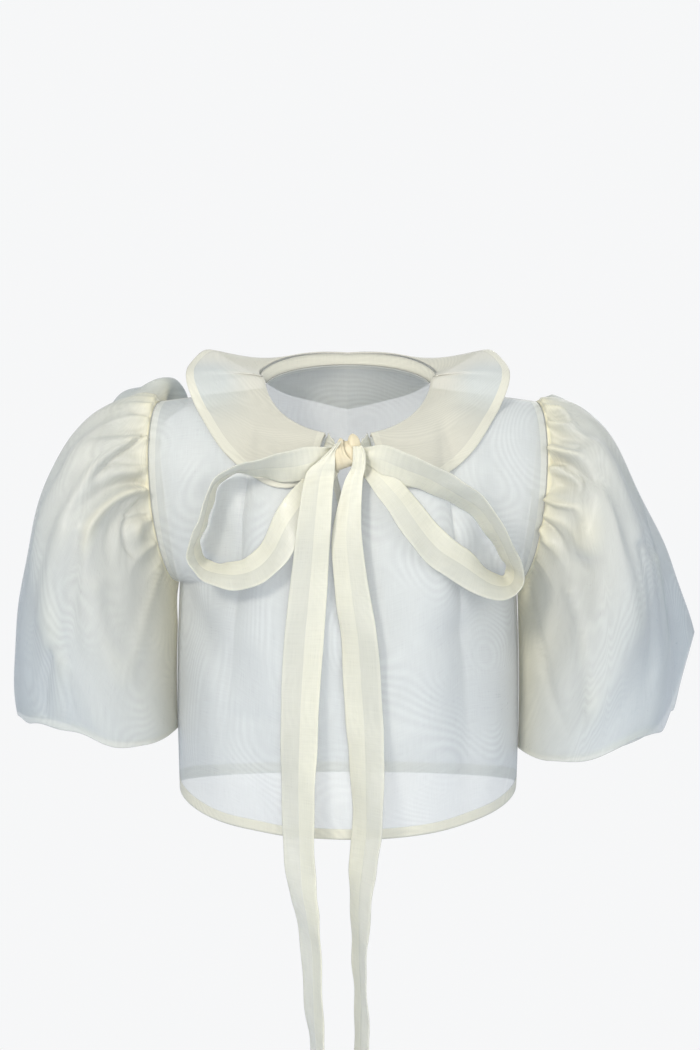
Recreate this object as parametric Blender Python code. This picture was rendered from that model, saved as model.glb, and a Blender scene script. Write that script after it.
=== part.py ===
"""A puff-sleeve organza blouse, worn: cropped body, flat round collar, neck tie in a bow.

Metres, +Z up. The front faces -Y and +X is the wearer's left. The origin lies midway between the high points
of the shoulders, where the blouse hangs on its wearer.

Every piece of cloth is a grid of points that gets its thickness from a Solidify modifier. The panels are worked
out first. The collar is made from the panels' own points moved out, and the ties are laid in front of whatever
they rest on.
"""
import math
from collections import namedtuple

import bpy
from mathutils import Vector
from mathutils.bvhtree import BVHTree

# ---------------------------------------------------------------- driving sizes
CLOTH = 0.0010          # wall of a single layer
DOUBLED = 0.0015        # wall of a hem, collar, band or tie, where the cloth lies double
SEAM_GAP = 0.0003       # between two pieces along a seam
SEAM_SHARE = 0.75       # of it that each piece draws back, a little over half for the bend of the cloth
HEM_BAND = 0.012        # height of the turned hems

FRONT = -1.0            # which way a panel faces along Y
BACK = 1.0

NECK_HALF_WIDTH = 0.083
NECK_POINT_Y = 0.004    # high shoulder point on the neck seam
NECK_POINT_Z = -0.0135
NECK_FRONT_Y = -0.087   # neck seam at the centre front
NECK_FRONT_Z = -0.056
NECK_BACK_Y = 0.066     # neck seam at the centre back
NECK_BACK_Z = 0.006

SHOULDER_TIP = Vector((0.186, 0.006, -0.027))
UNDERARM = Vector((0.169, 0.004, -0.207))
ARMHOLE_REACH = {FRONT: 0.058, BACK: 0.064}     # how far the armhole swings forward and back
ARMHOLE_SWELL = 0.013                           # and out past the line from tip to underarm

HEM_HALF_WIDTH = 0.171
HEM_DEPTH = {FRONT: 0.118, BACK: 0.100}
HEM_SIDE_Z = -0.414
HEM_CENTRE_Z = {FRONT: -0.438, BACK: -0.432}
SIDE_SWELL = 0.0025

SLIT_ROWS = 5                                   # rows of the front that the slit runs down
SLIT_HALF_WIDTHS = (0.013, 0.0135, 0.012, 0.009, 0.0045, 0.0)

# how a panel's grid is shared out
NECK_SHARE = 0.5        # of a half panel's columns, those that start on the neck seam
ARM_SHARE = 0.5         # of its rows, those that end on the armhole
NECK_COLUMNS = 6
SHOULDER_COLUMNS = 5
ARMHOLE_ROWS = 10
SIDE_ROWS = 6

# How each fall of cloth leaves the top edge and meets the hem, by its place across a half panel
Fall = namedtuple("Fall", "across out forward down hem_in")
FALLS = {
    FRONT: [Fall(0.00, 0.00, 0.13, 0.20, 0.06),
            Fall(0.50, 0.02, 0.44, 0.10, 0.10),
            Fall(0.75, 0.01, 0.38, 0.12, 0.05),
            Fall(1.00, 0.00, 0.28, 0.16, 0.00)],
    BACK: [Fall(0.00, 0.00, 0.16, 0.16, 0.06),
           Fall(0.50, 0.02, 0.36, 0.08, 0.08),
           Fall(0.75, 0.01, 0.32, 0.10, 0.04),
           Fall(1.00, 0.00, 0.28, 0.16, 0.00)],
}
HEM_FALL = 0.36         # how straight the cloth comes down to the hem

# The collar, from its front end (0) over the shoulder (0.5) to the centre back (1): where the row starts on
# the neck seam, how high it stands there, and where its outer edge is.
CollarRow = namedtuple("CollarRow", "place seam stand x y z")
COLLAR_ROWS = [
    CollarRow(0.00, 0.080, 0.003, 0.030, -0.100, -0.080),
    CollarRow(0.06, 0.110, 0.003, 0.040, -0.109, -0.094),
    CollarRow(0.13, 0.150, 0.003, 0.058, -0.112, -0.100),
    CollarRow(0.24, 0.240, 0.004, 0.088, -0.096, -0.093),
    CollarRow(0.34, 0.340, 0.005, 0.117, -0.070, -0.071),
    CollarRow(0.42, 0.420, 0.006, 0.142, -0.042, -0.040),
    CollarRow(0.50, 0.500, 0.008, 0.158, -0.020, -0.006),
    CollarRow(0.58, 0.440, 0.009, 0.156, 0.012, 0.013),
    CollarRow(0.67, 0.360, 0.011, 0.139, 0.045, 0.021),
    CollarRow(0.78, 0.250, 0.013, 0.105, 0.078, 0.002),
    CollarRow(0.89, 0.120, 0.014, 0.060, 0.098, -0.028),
    CollarRow(1.00, 0.000, 0.014, 0.000, 0.104, -0.040),
]
COLLAR_ROLL = 0.016     # how strongly it rolls over from the neck
COLLAR_COLUMNS = 22     # along each half
COLLAR_STEPS = 5        # across its width
COLLAR_LIFT = 0.0036    # its middle above the panel where it lies flat
BAND_FOOT = 0.0013      # the neckband's lower edge above the seam
BAND_HEAD = 0.0012      # its upper edge past the collar's stand

# A sleeve, by the angle round its armhole: 0 at the shoulder tip, 90 in front, 180 under the arm, 270 behind.
# leave says how the cloth leaves the armhole, hem where it ends, and fall how it comes down to the hem.
SleeveRow = namedtuple("SleeveRow", "angle leave_out leave_front leave_up hem_out hem_front hem_up "
                                    "fall_out fall_front fall_down")
SLEEVE_RIGHT = [
    SleeveRow(0, 0.33, 0.02, 0.14, 0.334, 0.000, -0.336, -0.03, 0.00, 0.26),
    SleeveRow(50, 0.31, 0.19, 0.05, 0.306, 0.073, -0.327, -0.02, -0.03, 0.24),
    SleeveRow(90, 0.24, 0.22, -0.02, 0.254, 0.096, -0.352, 0.00, -0.04, 0.22),
    SleeveRow(135, 0.12, 0.10, -0.08, 0.197, 0.068, -0.358, 0.01, -0.03, 0.17),
    SleeveRow(180, 0.03, 0.00, -0.14, 0.176, 0.000, -0.358, 0.00, 0.00, 0.14),
    SleeveRow(225, 0.12, -0.12, -0.08, 0.198, -0.070, -0.382, 0.01, 0.03, 0.18),
    SleeveRow(270, 0.22, -0.26, 0.02, 0.256, -0.098, -0.397, 0.00, 0.04, 0.25),
    SleeveRow(325, 0.16, -0.15, 0.38, 0.312, -0.066, -0.362, -0.02, 0.03, 0.25),
    SleeveRow(360, 0.33, 0.02, 0.14, 0.334, 0.000, -0.336, -0.03, 0.00, 0.26),
]
SLEEVE_LEFT = [
    SleeveRow(0, 0.27, 0.02, 0.10, 0.327, 0.004, -0.340, -0.03, 0.00, 0.24),
    SleeveRow(50, 0.27, 0.18, 0.03, 0.296, 0.070, -0.355, -0.02, -0.03, 0.24),
    SleeveRow(90, 0.24, 0.22, -0.02, 0.246, 0.092, -0.367, 0.00, -0.04, 0.22),
    SleeveRow(135, 0.12, 0.10, -0.08, 0.199, 0.066, -0.376, 0.01, -0.03, 0.17),
    SleeveRow(180, 0.01, 0.00, -0.14, 0.179, 0.000, -0.378, 0.00, 0.00, 0.14),
    SleeveRow(225, 0.12, -0.12, -0.08, 0.205, -0.072, -0.400, 0.01, 0.03, 0.18),
    SleeveRow(270, 0.22, -0.26, 0.02, 0.276, -0.100, -0.408, 0.00, 0.03, 0.25),
    SleeveRow(300, 0.19, -0.20, 0.09, 0.334, -0.086, -0.372, 0.03, 0.03, 0.23),
    SleeveRow(325, 0.16, -0.14, 0.16, 0.360, -0.060, -0.271, 0.06, 0.02, 0.22),
    SleeveRow(360, 0.27, 0.02, 0.10, 0.327, 0.004, -0.340, -0.03, 0.00, 0.24),
]
# The main folds from the gathered seam: where, how much less the cloth stands out there, and how wide
Fold = namedtuple("Fold", "angle pinch spread")
FOLDS_RIGHT = [Fold(22, 0.30, 9), Fold(52, 0.26, 8), Fold(80, 0.34, 10), Fold(112, 0.30, 11),
               Fold(205, 0.20, 12), Fold(246, 0.30, 12), Fold(285, 0.24, 9), Fold(322, 0.28, 10)]
FOLDS_LEFT = [Fold(26, 0.28, 9), Fold(58, 0.30, 9), Fold(90, 0.26, 9), Fold(118, 0.32, 11),
              Fold(210, 0.22, 12), Fold(250, 0.26, 10), Fold(290, 0.30, 11), Fold(335, 0.24, 9)]
SLEEVE_ROWS = 10

# The ties, by stretches in order: where the middle of the cloth is seen from the front, which way its width
# leans there (degrees up from +X), how far it turns its leading edge towards the viewer, its width where the
# knot gathers it, and how far its nearest edge rests in front of what lies beneath.
TIE_WIDTH = 0.037
TIE_END_Z = -0.700
Stretch = namedtuple("Stretch", "place x z lean turn width rest")
LOOP_RIGHT = [
    Stretch(0, -0.0130, -0.0665, 92, 5, 0.011, 0.0058),
    Stretch(1, -0.0370, -0.0745, 95, 12, 0.030, 0.0050),
    Stretch(2, -0.0600, -0.0790, 96, 36, 0.036, 0.0030),
    Stretch(3, -0.0842, -0.0803, 100, 60, TIE_WIDTH, 0.0030),
    Stretch(4, -0.1060, -0.0830, 115, 74, TIE_WIDTH, 0.0030),
    Stretch(5, -0.1244, -0.0965, 148, 79, TIE_WIDTH, 0.0030),
    Stretch(6, -0.1323, -0.1190, 178, 79, TIE_WIDTH, 0.0030),
    Stretch(7, -0.1400, -0.1400, 192, 75, TIE_WIDTH, 0.0030),
    Stretch(8, -0.1470, -0.1600, 208, 73, TIE_WIDTH, 0.0030),
    Stretch(9, -0.1405, -0.1752, 238, 71, TIE_WIDTH, 0.0030),
    Stretch(10, -0.1255, -0.1817, 258, 65, TIE_WIDTH, 0.0030),
    Stretch(11, -0.1051, -0.1808, 282, 52, TIE_WIDTH, 0.0030),
    Stretch(12, -0.0843, -0.1715, 300, 48, TIE_WIDTH, 0.0030),
    Stretch(13, -0.0675, -0.1546, 308, 38, TIE_WIDTH, 0.0030),
    Stretch(14, -0.0537, -0.1291, 316, 24, 0.036, 0.0030),
    Stretch(15, -0.0315, -0.0990, 318, 8, 0.028, 0.0022),
    Stretch(16, -0.0118, -0.0795, 312, 0, 0.011, 0.0040),
]
LOOP_LEFT = [
    Stretch(0, 0.0118, -0.0668, 85, 5, 0.010, 0.0074),
    Stretch(1, 0.0326, -0.0715, 80, 16, 0.028, 0.0060),
    Stretch(2, 0.0535, -0.0805, 70, 34, 0.036, 0.0030),
    Stretch(3, 0.0780, -0.0900, 58, 42, TIE_WIDTH, 0.0030),
    Stretch(4, 0.1000, -0.1015, 50, 47, TIE_WIDTH, 0.0030),
    Stretch(5, 0.1222, -0.1180, 40, 55, TIE_WIDTH, 0.0030),
    Stretch(6, 0.1400, -0.1431, 25, 62, TIE_WIDTH, 0.0030),
    Stretch(7, 0.1541, -0.1681, 8, 65, TIE_WIDTH, 0.0030),
    Stretch(8, 0.1605, -0.1850, -14, 66, TIE_WIDTH, 0.0030),
    Stretch(9, 0.1545, -0.1970, -52, 63, TIE_WIDTH, 0.0030),
    Stretch(10, 0.1333, -0.1925, -86, 48, TIE_WIDTH, 0.0030),
    Stretch(11, 0.1053, -0.1714, -120, 36, TIE_WIDTH, 0.0030),
    Stretch(12, 0.0836, -0.1546, -128, 34, TIE_WIDTH, 0.0030),
    Stretch(13, 0.0641, -0.1320, -140, 38, 0.036, 0.0030),
    Stretch(14, 0.0450, -0.1063, -146, 34, 0.031, 0.0030),
    Stretch(15, 0.0275, -0.0870, -142, 16, 0.022, 0.0024),
    Stretch(16, 0.0120, -0.0775, -130, 5, 0.009, 0.0034),
]
TAIL_RIGHT = [
    Stretch(0, -0.0160, -0.0640, 12, 0, 0.006, 0.0014),
    Stretch(1, -0.0240, -0.0777, 6, 6, 0.0245, 0.0014),
    Stretch(2, -0.0279, -0.0990, 0, 10, 0.0290, 0.0014),
    Stretch(3, -0.0322, -0.1417, 0, 14, 0.0330, 0.0016),
    Stretch(4, -0.0369, -0.1951, 0, 16, 0.0355, 0.0030),
    Stretch(5, -0.0408, -0.2386, 0, 6, TIE_WIDTH, 0.0030),
    Stretch(6, -0.0442, -0.2881, 0, 14, TIE_WIDTH, 0.0030),
    Stretch(7, -0.0458, -0.3389, 0, 20, TIE_WIDTH, 0.0030),
    Stretch(8, -0.0470, -0.3892, 0, 32, TIE_WIDTH, 0.0030),
    Stretch(9, -0.0467, -0.4399, 0, 36, TIE_WIDTH, 0.0030),
    Stretch(10, -0.0435, -0.4782, -4, 40, TIE_WIDTH, 0.0030),
    Stretch(11, -0.0390, -0.5048, -4, 50, TIE_WIDTH, 0.0030),
    Stretch(12, -0.0352, -0.5435, 0, 58, TIE_WIDTH, 0.0030),
    Stretch(13, -0.0329, -0.5955, 0, 60, TIE_WIDTH, 0.0030),
    Stretch(14, -0.0290, -0.6398, 0, 66, TIE_WIDTH, 0.0030),
    Stretch(15, -0.0250, TIE_END_Z, 0, 58, TIE_WIDTH, 0.0030),
]
TAIL_LEFT = [
    Stretch(0, 0.0060, -0.0806, 0, 0, 0.0120, 0.0020),
    Stretch(1, 0.0029, -0.0990, 0, 8, 0.0205, 0.0030),
    Stretch(2, -0.0008, -0.1417, 0, 16, 0.0285, 0.0030),
    Stretch(3, 0.0043, -0.1951, 0, 18, 0.0340, 0.0030),
    Stretch(4, 0.0108, -0.2386, 0, 24, TIE_WIDTH, 0.0030),
    Stretch(5, 0.0137, -0.2881, 0, 18, TIE_WIDTH, 0.0030),
    Stretch(6, 0.0161, -0.3254, 0, 20, TIE_WIDTH, 0.0030),
    Stretch(7, 0.0180, -0.3640, 0, 30, TIE_WIDTH, 0.0030),
    Stretch(8, 0.0185, -0.4145, 0, 42, TIE_WIDTH, 0.0030),
    Stretch(9, 0.0150, -0.4477, 0, 44, TIE_WIDTH, 0.0030),
    Stretch(10, 0.0124, -0.4782, 0, 54, TIE_WIDTH, 0.0030),
    Stretch(11, 0.0115, -0.5177, 0, 64, TIE_WIDTH, 0.0030),
    Stretch(12, 0.0105, -0.5565, 0, 70, TIE_WIDTH, 0.0030),
    Stretch(13, 0.0130, -0.5955, 0, 70, TIE_WIDTH, 0.0030),
    Stretch(14, 0.0135, -0.6398, 0, 67, TIE_WIDTH, 0.0030),
    Stretch(15, 0.0150, TIE_END_Z, 0, 58, TIE_WIDTH, 0.0030),
]
LOOP_STEPS = 36
TAIL_STEPS = 28

# The knot, from its top down: its half width and half depth at that height, and how far it leans to a side
KnotRow = namedtuple("KnotRow", "z half_width half_depth shift")
KNOT_ROWS = [
    KnotRow(-0.0500, 0.0030, 0.0030, 0.0040),
    KnotRow(-0.0540, 0.0060, 0.0060, 0.0035),
    KnotRow(-0.0590, 0.0085, 0.0080, 0.0010),
    KnotRow(-0.0650, 0.0108, 0.0092, -0.0005),
    KnotRow(-0.0710, 0.0114, 0.0095, -0.0010),
    KnotRow(-0.0760, 0.0092, 0.0082, 0.0000),
    KnotRow(-0.0795, 0.0040, 0.0040, 0.0030),
]
KNOT_Y = -0.1135
KNOT_SIDES = 16
STRAP_WIDTH = 0.008
STRAP_LEAN = 0.26       # sideways for its height
STRAP_GATHER = 0.12     # of its width lost at the knot
STRAP_INSET = 0.0012    # its middle clear of the neckband's end and of the knot

# ---------------------------------------------------------------- tables and curves


def read(rows, place):
    """The table's row at this place, smooth between the rows that are written. A table whose last row
    repeats its first goes round."""
    last = len(rows) - 1
    place = min(max(place, rows[0][0]), rows[last][0])
    at = max(i for i in range(last) if rows[i][0] <= place)
    goes_round = rows[0][1:] == rows[last][1:]

    def slope(i, column):
        if 0 < i < last:
            before, after = rows[i - 1], rows[i + 1]
            span = after[0] - before[0]
        elif goes_round:
            before, after = rows[last - 1], rows[1]
            span = (rows[last][0] - before[0]) + (after[0] - rows[0][0])
        else:
            before, after = (rows[0], rows[1]) if i == 0 else (rows[last - 1], rows[last])
            span = after[0] - before[0]
        return (after[column] - before[column]) / span

    length = rows[at + 1][0] - rows[at][0]
    u = (place - rows[at][0]) / length
    values = [place]
    for column in range(1, len(rows[0])):
        values.append(hermite(rows[at][column], slope(at, column) * length,
                              rows[at + 1][column], slope(at + 1, column) * length, u))
    return type(rows[0])(*values)


def hermite(start, leave, end, arrive, u):
    """A cubic from start to end with these slopes at its ends. Works on numbers and on vectors."""
    return (start * (1 + 2 * u) * (1 - u) ** 2 + leave * u * (1 - u) ** 2
            + end * u * u * (3 - 2 * u) + arrive * u * u * (u - 1))


def ease(u):
    """0 to 1 with flat ends."""
    u = min(max(u, 0.0), 1.0)
    return u * u * (3 - 2 * u)


# ---------------------------------------------------------------- the body's surface


def top_edge(across, facing):
    """A half panel's top: along the neck seam to the neck point, then along the shoulder to its tip."""
    if across <= NECK_SHARE:
        turn = math.radians(90 * across / NECK_SHARE)
        centre_y, centre_z = (NECK_FRONT_Y, NECK_FRONT_Z) if facing == FRONT else (NECK_BACK_Y, NECK_BACK_Z)
        return Vector((NECK_HALF_WIDTH * math.sin(turn),
                       NECK_POINT_Y + (centre_y - NECK_POINT_Y) * math.cos(turn),
                       NECK_POINT_Z + (centre_z - NECK_POINT_Z) * math.cos(turn)))
    u = (across - NECK_SHARE) / (1 - NECK_SHARE)
    neck_point = Vector((NECK_HALF_WIDTH, NECK_POINT_Y, NECK_POINT_Z))
    return neck_point.lerp(SHOULDER_TIP, u)


def hem_edge(across, facing):
    turn = math.radians(90 * across)
    return Vector((HEM_HALF_WIDTH * math.sin(turn),
                   facing * HEM_DEPTH[facing] * math.cos(turn),
                   HEM_SIDE_Z + (HEM_CENTRE_Z[facing] - HEM_SIDE_Z) * math.cos(turn)))


def side_edge(down, facing):
    """A half panel's outer edge: round the armhole to the underarm, then down the side seam."""
    if down <= ARM_SHARE:
        turn = math.pi * down / ARM_SHARE
        point = SHOULDER_TIP.lerp(UNDERARM, (1 - math.cos(turn)) / 2)
        point.x += ARMHOLE_SWELL * math.sin(turn)
        point.y += facing * ARMHOLE_REACH[facing] * math.sin(turn)
        return point
    u = (down - ARM_SHARE) / (1 - ARM_SHARE)
    point = UNDERARM.lerp(hem_edge(1.0, facing), u)
    point.x += SIDE_SWELL * math.sin(math.pi * u)
    return point


def fall_of_cloth(across, down, facing):
    row = read(FALLS[facing], across)
    return hermite(top_edge(across, facing), Vector((row.out, facing * row.forward, -row.down)),
                   hem_edge(across, facing), Vector((0, -facing * row.hem_in, -HEM_FALL)), down)


def panel_point(across, down, facing):
    """A point of a half panel: across from the centre (0) to the side (1), down from the top to the hem."""
    point = fall_of_cloth(across, down, facing)
    pull = ease((across - 0.35) / 0.65)
    return point + (side_edge(down, facing) - fall_of_cloth(1.0, down, facing)) * pull


def panel_normal(across, down, facing):
    """The way out of the cloth at that point."""
    step = 0.004
    a0, a1 = max(across - step, 0.0), min(across + step, 1.0)
    d0, d1 = max(down - step, 0.0), min(down + step, 1.0)
    along = panel_point(a1, down, facing) - panel_point(a0, down, facing)
    if across < step:
        along = Vector((1, 0, 0))
    fall = panel_point(across, d1, facing) - panel_point(across, d0, facing)
    return (fall.cross(along) * -facing).normalized()


# ---------------------------------------------------------------- making objects


def clear_scene():
    for item in list(bpy.data.objects):
        bpy.data.objects.remove(item, do_unlink=True)


def organza(name, colour, alpha):
    material = bpy.data.materials.new(name)
    material.use_nodes = True
    shader = material.node_tree.nodes["Principled BSDF"]
    shader.inputs["Base Color"].default_value = (*colour, 1.0)
    shader.inputs["Roughness"].default_value = 0.45
    shader.inputs["Metallic"].default_value = 0.0
    shader.inputs["Alpha"].default_value = alpha
    return material


def cloth_object(name, sheet, material, wall=CLOTH, hem_points=()):
    """One piece of cloth: its middle surface, then its wall. hem_points lie in a doubled edge."""
    points, faces = sheet
    mesh = bpy.data.meshes.new(name)
    mesh.from_pydata([tuple(p) for p in points], [], faces)
    mesh.materials.append(material)
    mesh.update()
    piece = bpy.data.objects.new(name, mesh)
    bpy.context.scene.collection.objects.link(piece)
    solid = piece.modifiers.new("wall", "SOLIDIFY")
    solid.offset = 0.0
    solid.thickness = wall
    if hem_points:
        group = piece.vertex_groups.new(name="hem")
        group.add(list(hem_points), 1.0, "REPLACE")
        solid.vertex_group = "hem"
        solid.thickness = DOUBLED
        solid.thickness_vertex_group = wall / DOUBLED
    mesh.shade_smooth()


def grid_faces(columns, rows, flip=False, round_columns=False):
    """Quads over a grid of points stored row by row."""
    faces = []
    for j in range(rows - 1):
        for i in range(columns if round_columns else columns - 1):
            k = (i + 1) % columns
            quad = (j * columns + i, (j + 1) * columns + i, (j + 1) * columns + k, j * columns + k)
            faces.append(quad[::-1] if flip else quad)
    return faces


# ---------------------------------------------------------------- front and back


def across_places():
    neck = [NECK_SHARE * i / NECK_COLUMNS for i in range(NECK_COLUMNS)]
    shoulder = [NECK_SHARE + (1 - NECK_SHARE) * i / SHOULDER_COLUMNS for i in range(SHOULDER_COLUMNS + 1)]
    return neck + shoulder


def down_places():
    arm = [ARM_SHARE * j / ARMHOLE_ROWS for j in range(ARMHOLE_ROWS)]
    side_height = UNDERARM.z - HEM_SIDE_Z
    band = (1 - ARM_SHARE) * HEM_BAND / side_height
    side = [ARM_SHARE + (1 - ARM_SHARE - band) * j / (SIDE_ROWS - 1) for j in range(SIDE_ROWS)]
    return arm + side + [1.0]


def panel(name, facing, material):
    """A whole panel from its two mirrored halves, sharing the points of the centre line below the slit."""
    places = across_places()
    levels = down_places()
    slit = list(SLIT_HALF_WIDTHS) if facing == FRONT else [0.0]
    points, index, hem = [], {}, []
    for j, down in enumerate(levels):
        for side in (1, -1):
            for i, across in enumerate(places):
                open_here = j < len(slit) and slit[j] > 0
                if i == 0 and side == -1 and not open_here:
                    index[side, i, j] = index[1, 0, j]
                    continue
                if open_here:
                    shift = slit[j] / (0.5 * math.pi * HEM_HALF_WIDTH)
                    across = shift + across * (1 - shift)
                point = trimmed_point(across, down, facing, i, j, len(places), len(levels))
                if i == 0:
                    point.x = slit[j] if open_here else 0.0
                point.x *= side
                index[side, i, j] = len(points)
                if j >= len(levels) - 2:
                    hem.append(len(points))
                points.append(point)
    faces = []
    for side in (1, -1):
        for j in range(len(levels) - 1):
            for i in range(len(places) - 1):
                quad = [index[side, i, j], index[side, i, j + 1], index[side, i + 1, j + 1],
                        index[side, i + 1, j]]
                faces.append(quad[::-1] if side * facing > 0 else quad)
    sheet = points, faces
    cloth_object(name, sheet, material, hem_points=hem)
    return sheet


def trimmed_point(across, down, facing, i, j, columns, rows):
    """The panel's point, moved in from an edge that meets another piece by its half of the gap."""
    point = panel_point(across, down, facing)
    if i == columns - 1 and j >= ARMHOLE_ROWS:
        point += moved_in(panel_point(across - 0.02, down, facing) - point, "x")
    if j == 0:
        point += moved_in(panel_point(across, 0.02, facing) - point, "z")
    return point


def moved_in(inward, axis):
    """A share of a seam's gap, and more where the cloth slants across it, so that the walls' corners clear."""
    inward = inward.normalized()
    slant = abs(getattr(inward, axis))
    corner = CLOTH / 2 * slant / math.sqrt(max(1 - slant * slant, 0.1))
    return inward * (SEAM_GAP * SEAM_SHARE + corner)


# ---------------------------------------------------------------- collar and neckband


def collar_facing(place):
    return FRONT if place <= 0.5 else BACK


def seam_point(place, height):
    """A point above the neck seam at this place of the collar, out along the cloth's own way out."""
    row = read(COLLAR_ROWS, place)
    facing = collar_facing(place)
    normal = panel_normal(row.seam, 0.0, facing)
    other = panel_normal(row.seam, 0.0, -facing)
    share = 0.5 * (1 - ease(abs(place - 0.5) / 0.2))
    return panel_point(row.seam, 0.0, facing) + normal.lerp(other, share).normalized() * height


def collar_point(place, out, body):
    """A point of the collar: out from its roll above the neck seam (0) to its outer edge (1)."""
    row = read(COLLAR_ROWS, place)
    foot = seam_point(place, 0.0)
    roll = seam_point(place, row.stand + COLLAR_LIFT)
    edge = Vector((row.x, row.y, row.z))
    rise = (roll - foot).normalized() * COLLAR_ROLL
    point = hermite(roll, (edge - roll) * 0.8 + rise, edge, (edge - roll) * 0.9 - rise, out)
    return lifted(point, body, COLLAR_LIFT)


def lifted(point, surface, least):
    """The point, moved out from the nearest cloth if it is nearer than this."""
    spot, normal, _, _ = surface.find_nearest(point)
    clear = (point - spot).dot(normal)
    return point if clear >= least else point + normal * (least - clear)


def make_collar(body, material):
    """One piece from the right front end round the back to the left front end."""
    half = [i / COLLAR_COLUMNS for i in range(COLLAR_COLUMNS + 1)]
    points = []
    for step in range(COLLAR_STEPS + 1):
        line = [collar_point(place, step / COLLAR_STEPS, body) for place in half]
        points += [mirrored(point) for point in line] + line[-2::-1]
    sheet = points, grid_faces(2 * len(half) - 1, COLLAR_STEPS + 1)
    cloth_object("collar", sheet, material, wall=DOUBLED)
    return sheet


def mirrored(point):
    return Vector((-point.x, point.y, point.z))


def make_neckband(material):
    """A strip that stands on the neck seam under the collar's roll."""
    half = [i / COLLAR_COLUMNS for i in range(COLLAR_COLUMNS + 1)]
    points = []
    for top in (False, True):
        line = [seam_point(place, read(COLLAR_ROWS, place).stand + BAND_HEAD if top else BAND_FOOT)
                for place in half]
        points += [mirrored(point) for point in line] + line[-2::-1]
    sheet = points, grid_faces(2 * len(half) - 1, 2)
    cloth_object("neckband", sheet, material)


# ---------------------------------------------------------------- sleeves


def armhole_ring():
    """The armhole's points in order, from the shoulder tip forward, under the arm and up behind, with one
    more midway between each two. Each comes with its angle."""
    front = [side_edge(ARM_SHARE * j / ARMHOLE_ROWS, FRONT) for j in range(ARMHOLE_ROWS + 1)]
    back = [side_edge(ARM_SHARE * j / ARMHOLE_ROWS, BACK) for j in range(ARMHOLE_ROWS - 1, 0, -1)]
    corners = front + back
    ring = []
    for k, corner in enumerate(corners):
        following = corners[(k + 1) % len(corners)]
        ring.append((360.0 * k / len(corners), corner))
        ring.append((360.0 * (k + 0.5) / len(corners), corner.lerp(following, 0.5)))
    return ring


def fullness(angle, folds):
    """How far the cloth stands out of the gathered seam, less in each fold."""
    full = 1.08
    for fold in folds:
        off = (angle - fold.angle + 180) % 360 - 180
        full -= fold.pinch * math.exp(-(off / fold.spread) ** 2)
    return full


def sleeve_point(angle, start, down, rows, folds):
    row = read(rows, angle)
    full = fullness(angle, folds)
    leave = Vector((row.leave_out, -row.leave_front, row.leave_up)) * full
    hem = Vector((row.hem_out, -row.hem_front, row.hem_up))
    arrive = Vector((row.fall_out, -row.fall_front, -row.fall_down))
    return hermite(start, leave, hem, arrive, down)


def make_sleeve(name, side, rows, folds, material):
    ring = armhole_ring()
    levels = [((j / (SLEEVE_ROWS - 1)) ** 1.25) * 0.96 for j in range(SLEEVE_ROWS)] + [1.0]
    points = []
    for down in levels:
        for angle, corner in ring:
            clear = SEAM_GAP + CLOTH * (0.75 - 0.25 * math.cos(math.radians(angle)))
            point = sleeve_point(angle, corner + Vector((clear, 0, 0)), down, rows, folds)
            point.x *= side
            points.append(point)
    sheet = points, grid_faces(len(ring), len(levels), flip=side > 0, round_columns=True)
    hem = range(len(ring) * (len(levels) - 2), len(points))
    cloth_object(name, sheet, material, hem_points=hem)


# ---------------------------------------------------------------- the bow


def surface_of(*sheets):
    """One searchable surface from the middles of several pieces of cloth."""
    points, faces = [], []
    for sheet_points, sheet_faces in sheets:
        first = len(points)
        points += sheet_points
        faces += [[first + corner for corner in face] for face in sheet_faces]
    return BVHTree.FromPolygons(points, faces)


def depth_in_front(x, z, beneath):
    """The Y of the first cloth met from the front at this place, or of the body's front line past its edges."""
    spot = beneath.ray_cast(Vector((x, -1.0, z)), Vector((0, 1, 0)))[0]
    if spot is not None:
        return spot.y
    return NECK_FRONT_Y - 0.012 if z > UNDERARM.z else -HEM_DEPTH[FRONT] - 0.005


def section(rows, place):
    """The tie's written stretch at this place, and the vector from its middle to its leading edge."""
    row = read(rows, place)
    lean, turn = math.radians(row.lean), math.radians(row.turn)
    half = Vector((math.cos(lean) * math.cos(turn), -math.sin(turn), math.sin(lean) * math.cos(turn)))
    return row, half * (row.width / 2)


def resting_depth(rows, place, beneath):
    """How far back the middle of the tie can lie here, with its whole width in front of what is beneath."""
    row, half = section(rows, place)
    spots = (n / 5 for n in range(-5, 6))
    return min(depth_in_front(row.x + half.x * u, row.z + half.z * u, beneath) - half.y * u
               for u in spots) - row.rest


def ribbon_sections(rows, steps, beneath):
    """Middle point and half width of the tie at even steps, smoothly in front of what is beneath."""
    fine = 4
    depths = [resting_depth(rows, rows[-1].place * n / (steps * fine), beneath)
              for n in range(steps * fine + 1)]
    reach = fine + 1
    foremost = [min(depths[max(n - reach, 0):n + reach + 1]) for n in range(len(depths))]
    sections = []
    for k in range(steps + 1):
        near = foremost[max(k * fine - reach, 0):k * fine + reach + 1]
        row, half = section(rows, rows[-1].place * k / steps)
        sections.append((Vector((row.x, sum(near) / len(near), row.z)), half))
    return sections


def make_ribbon(name, rows, steps, beneath, material):
    points = []
    for middle, half in ribbon_sections(rows, steps, beneath):
        points += [middle - half, middle, middle + half]
    sheet = points, grid_faces(3, steps + 1)
    cloth_object(name, sheet, material, wall=DOUBLED)
    return sheet


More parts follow.
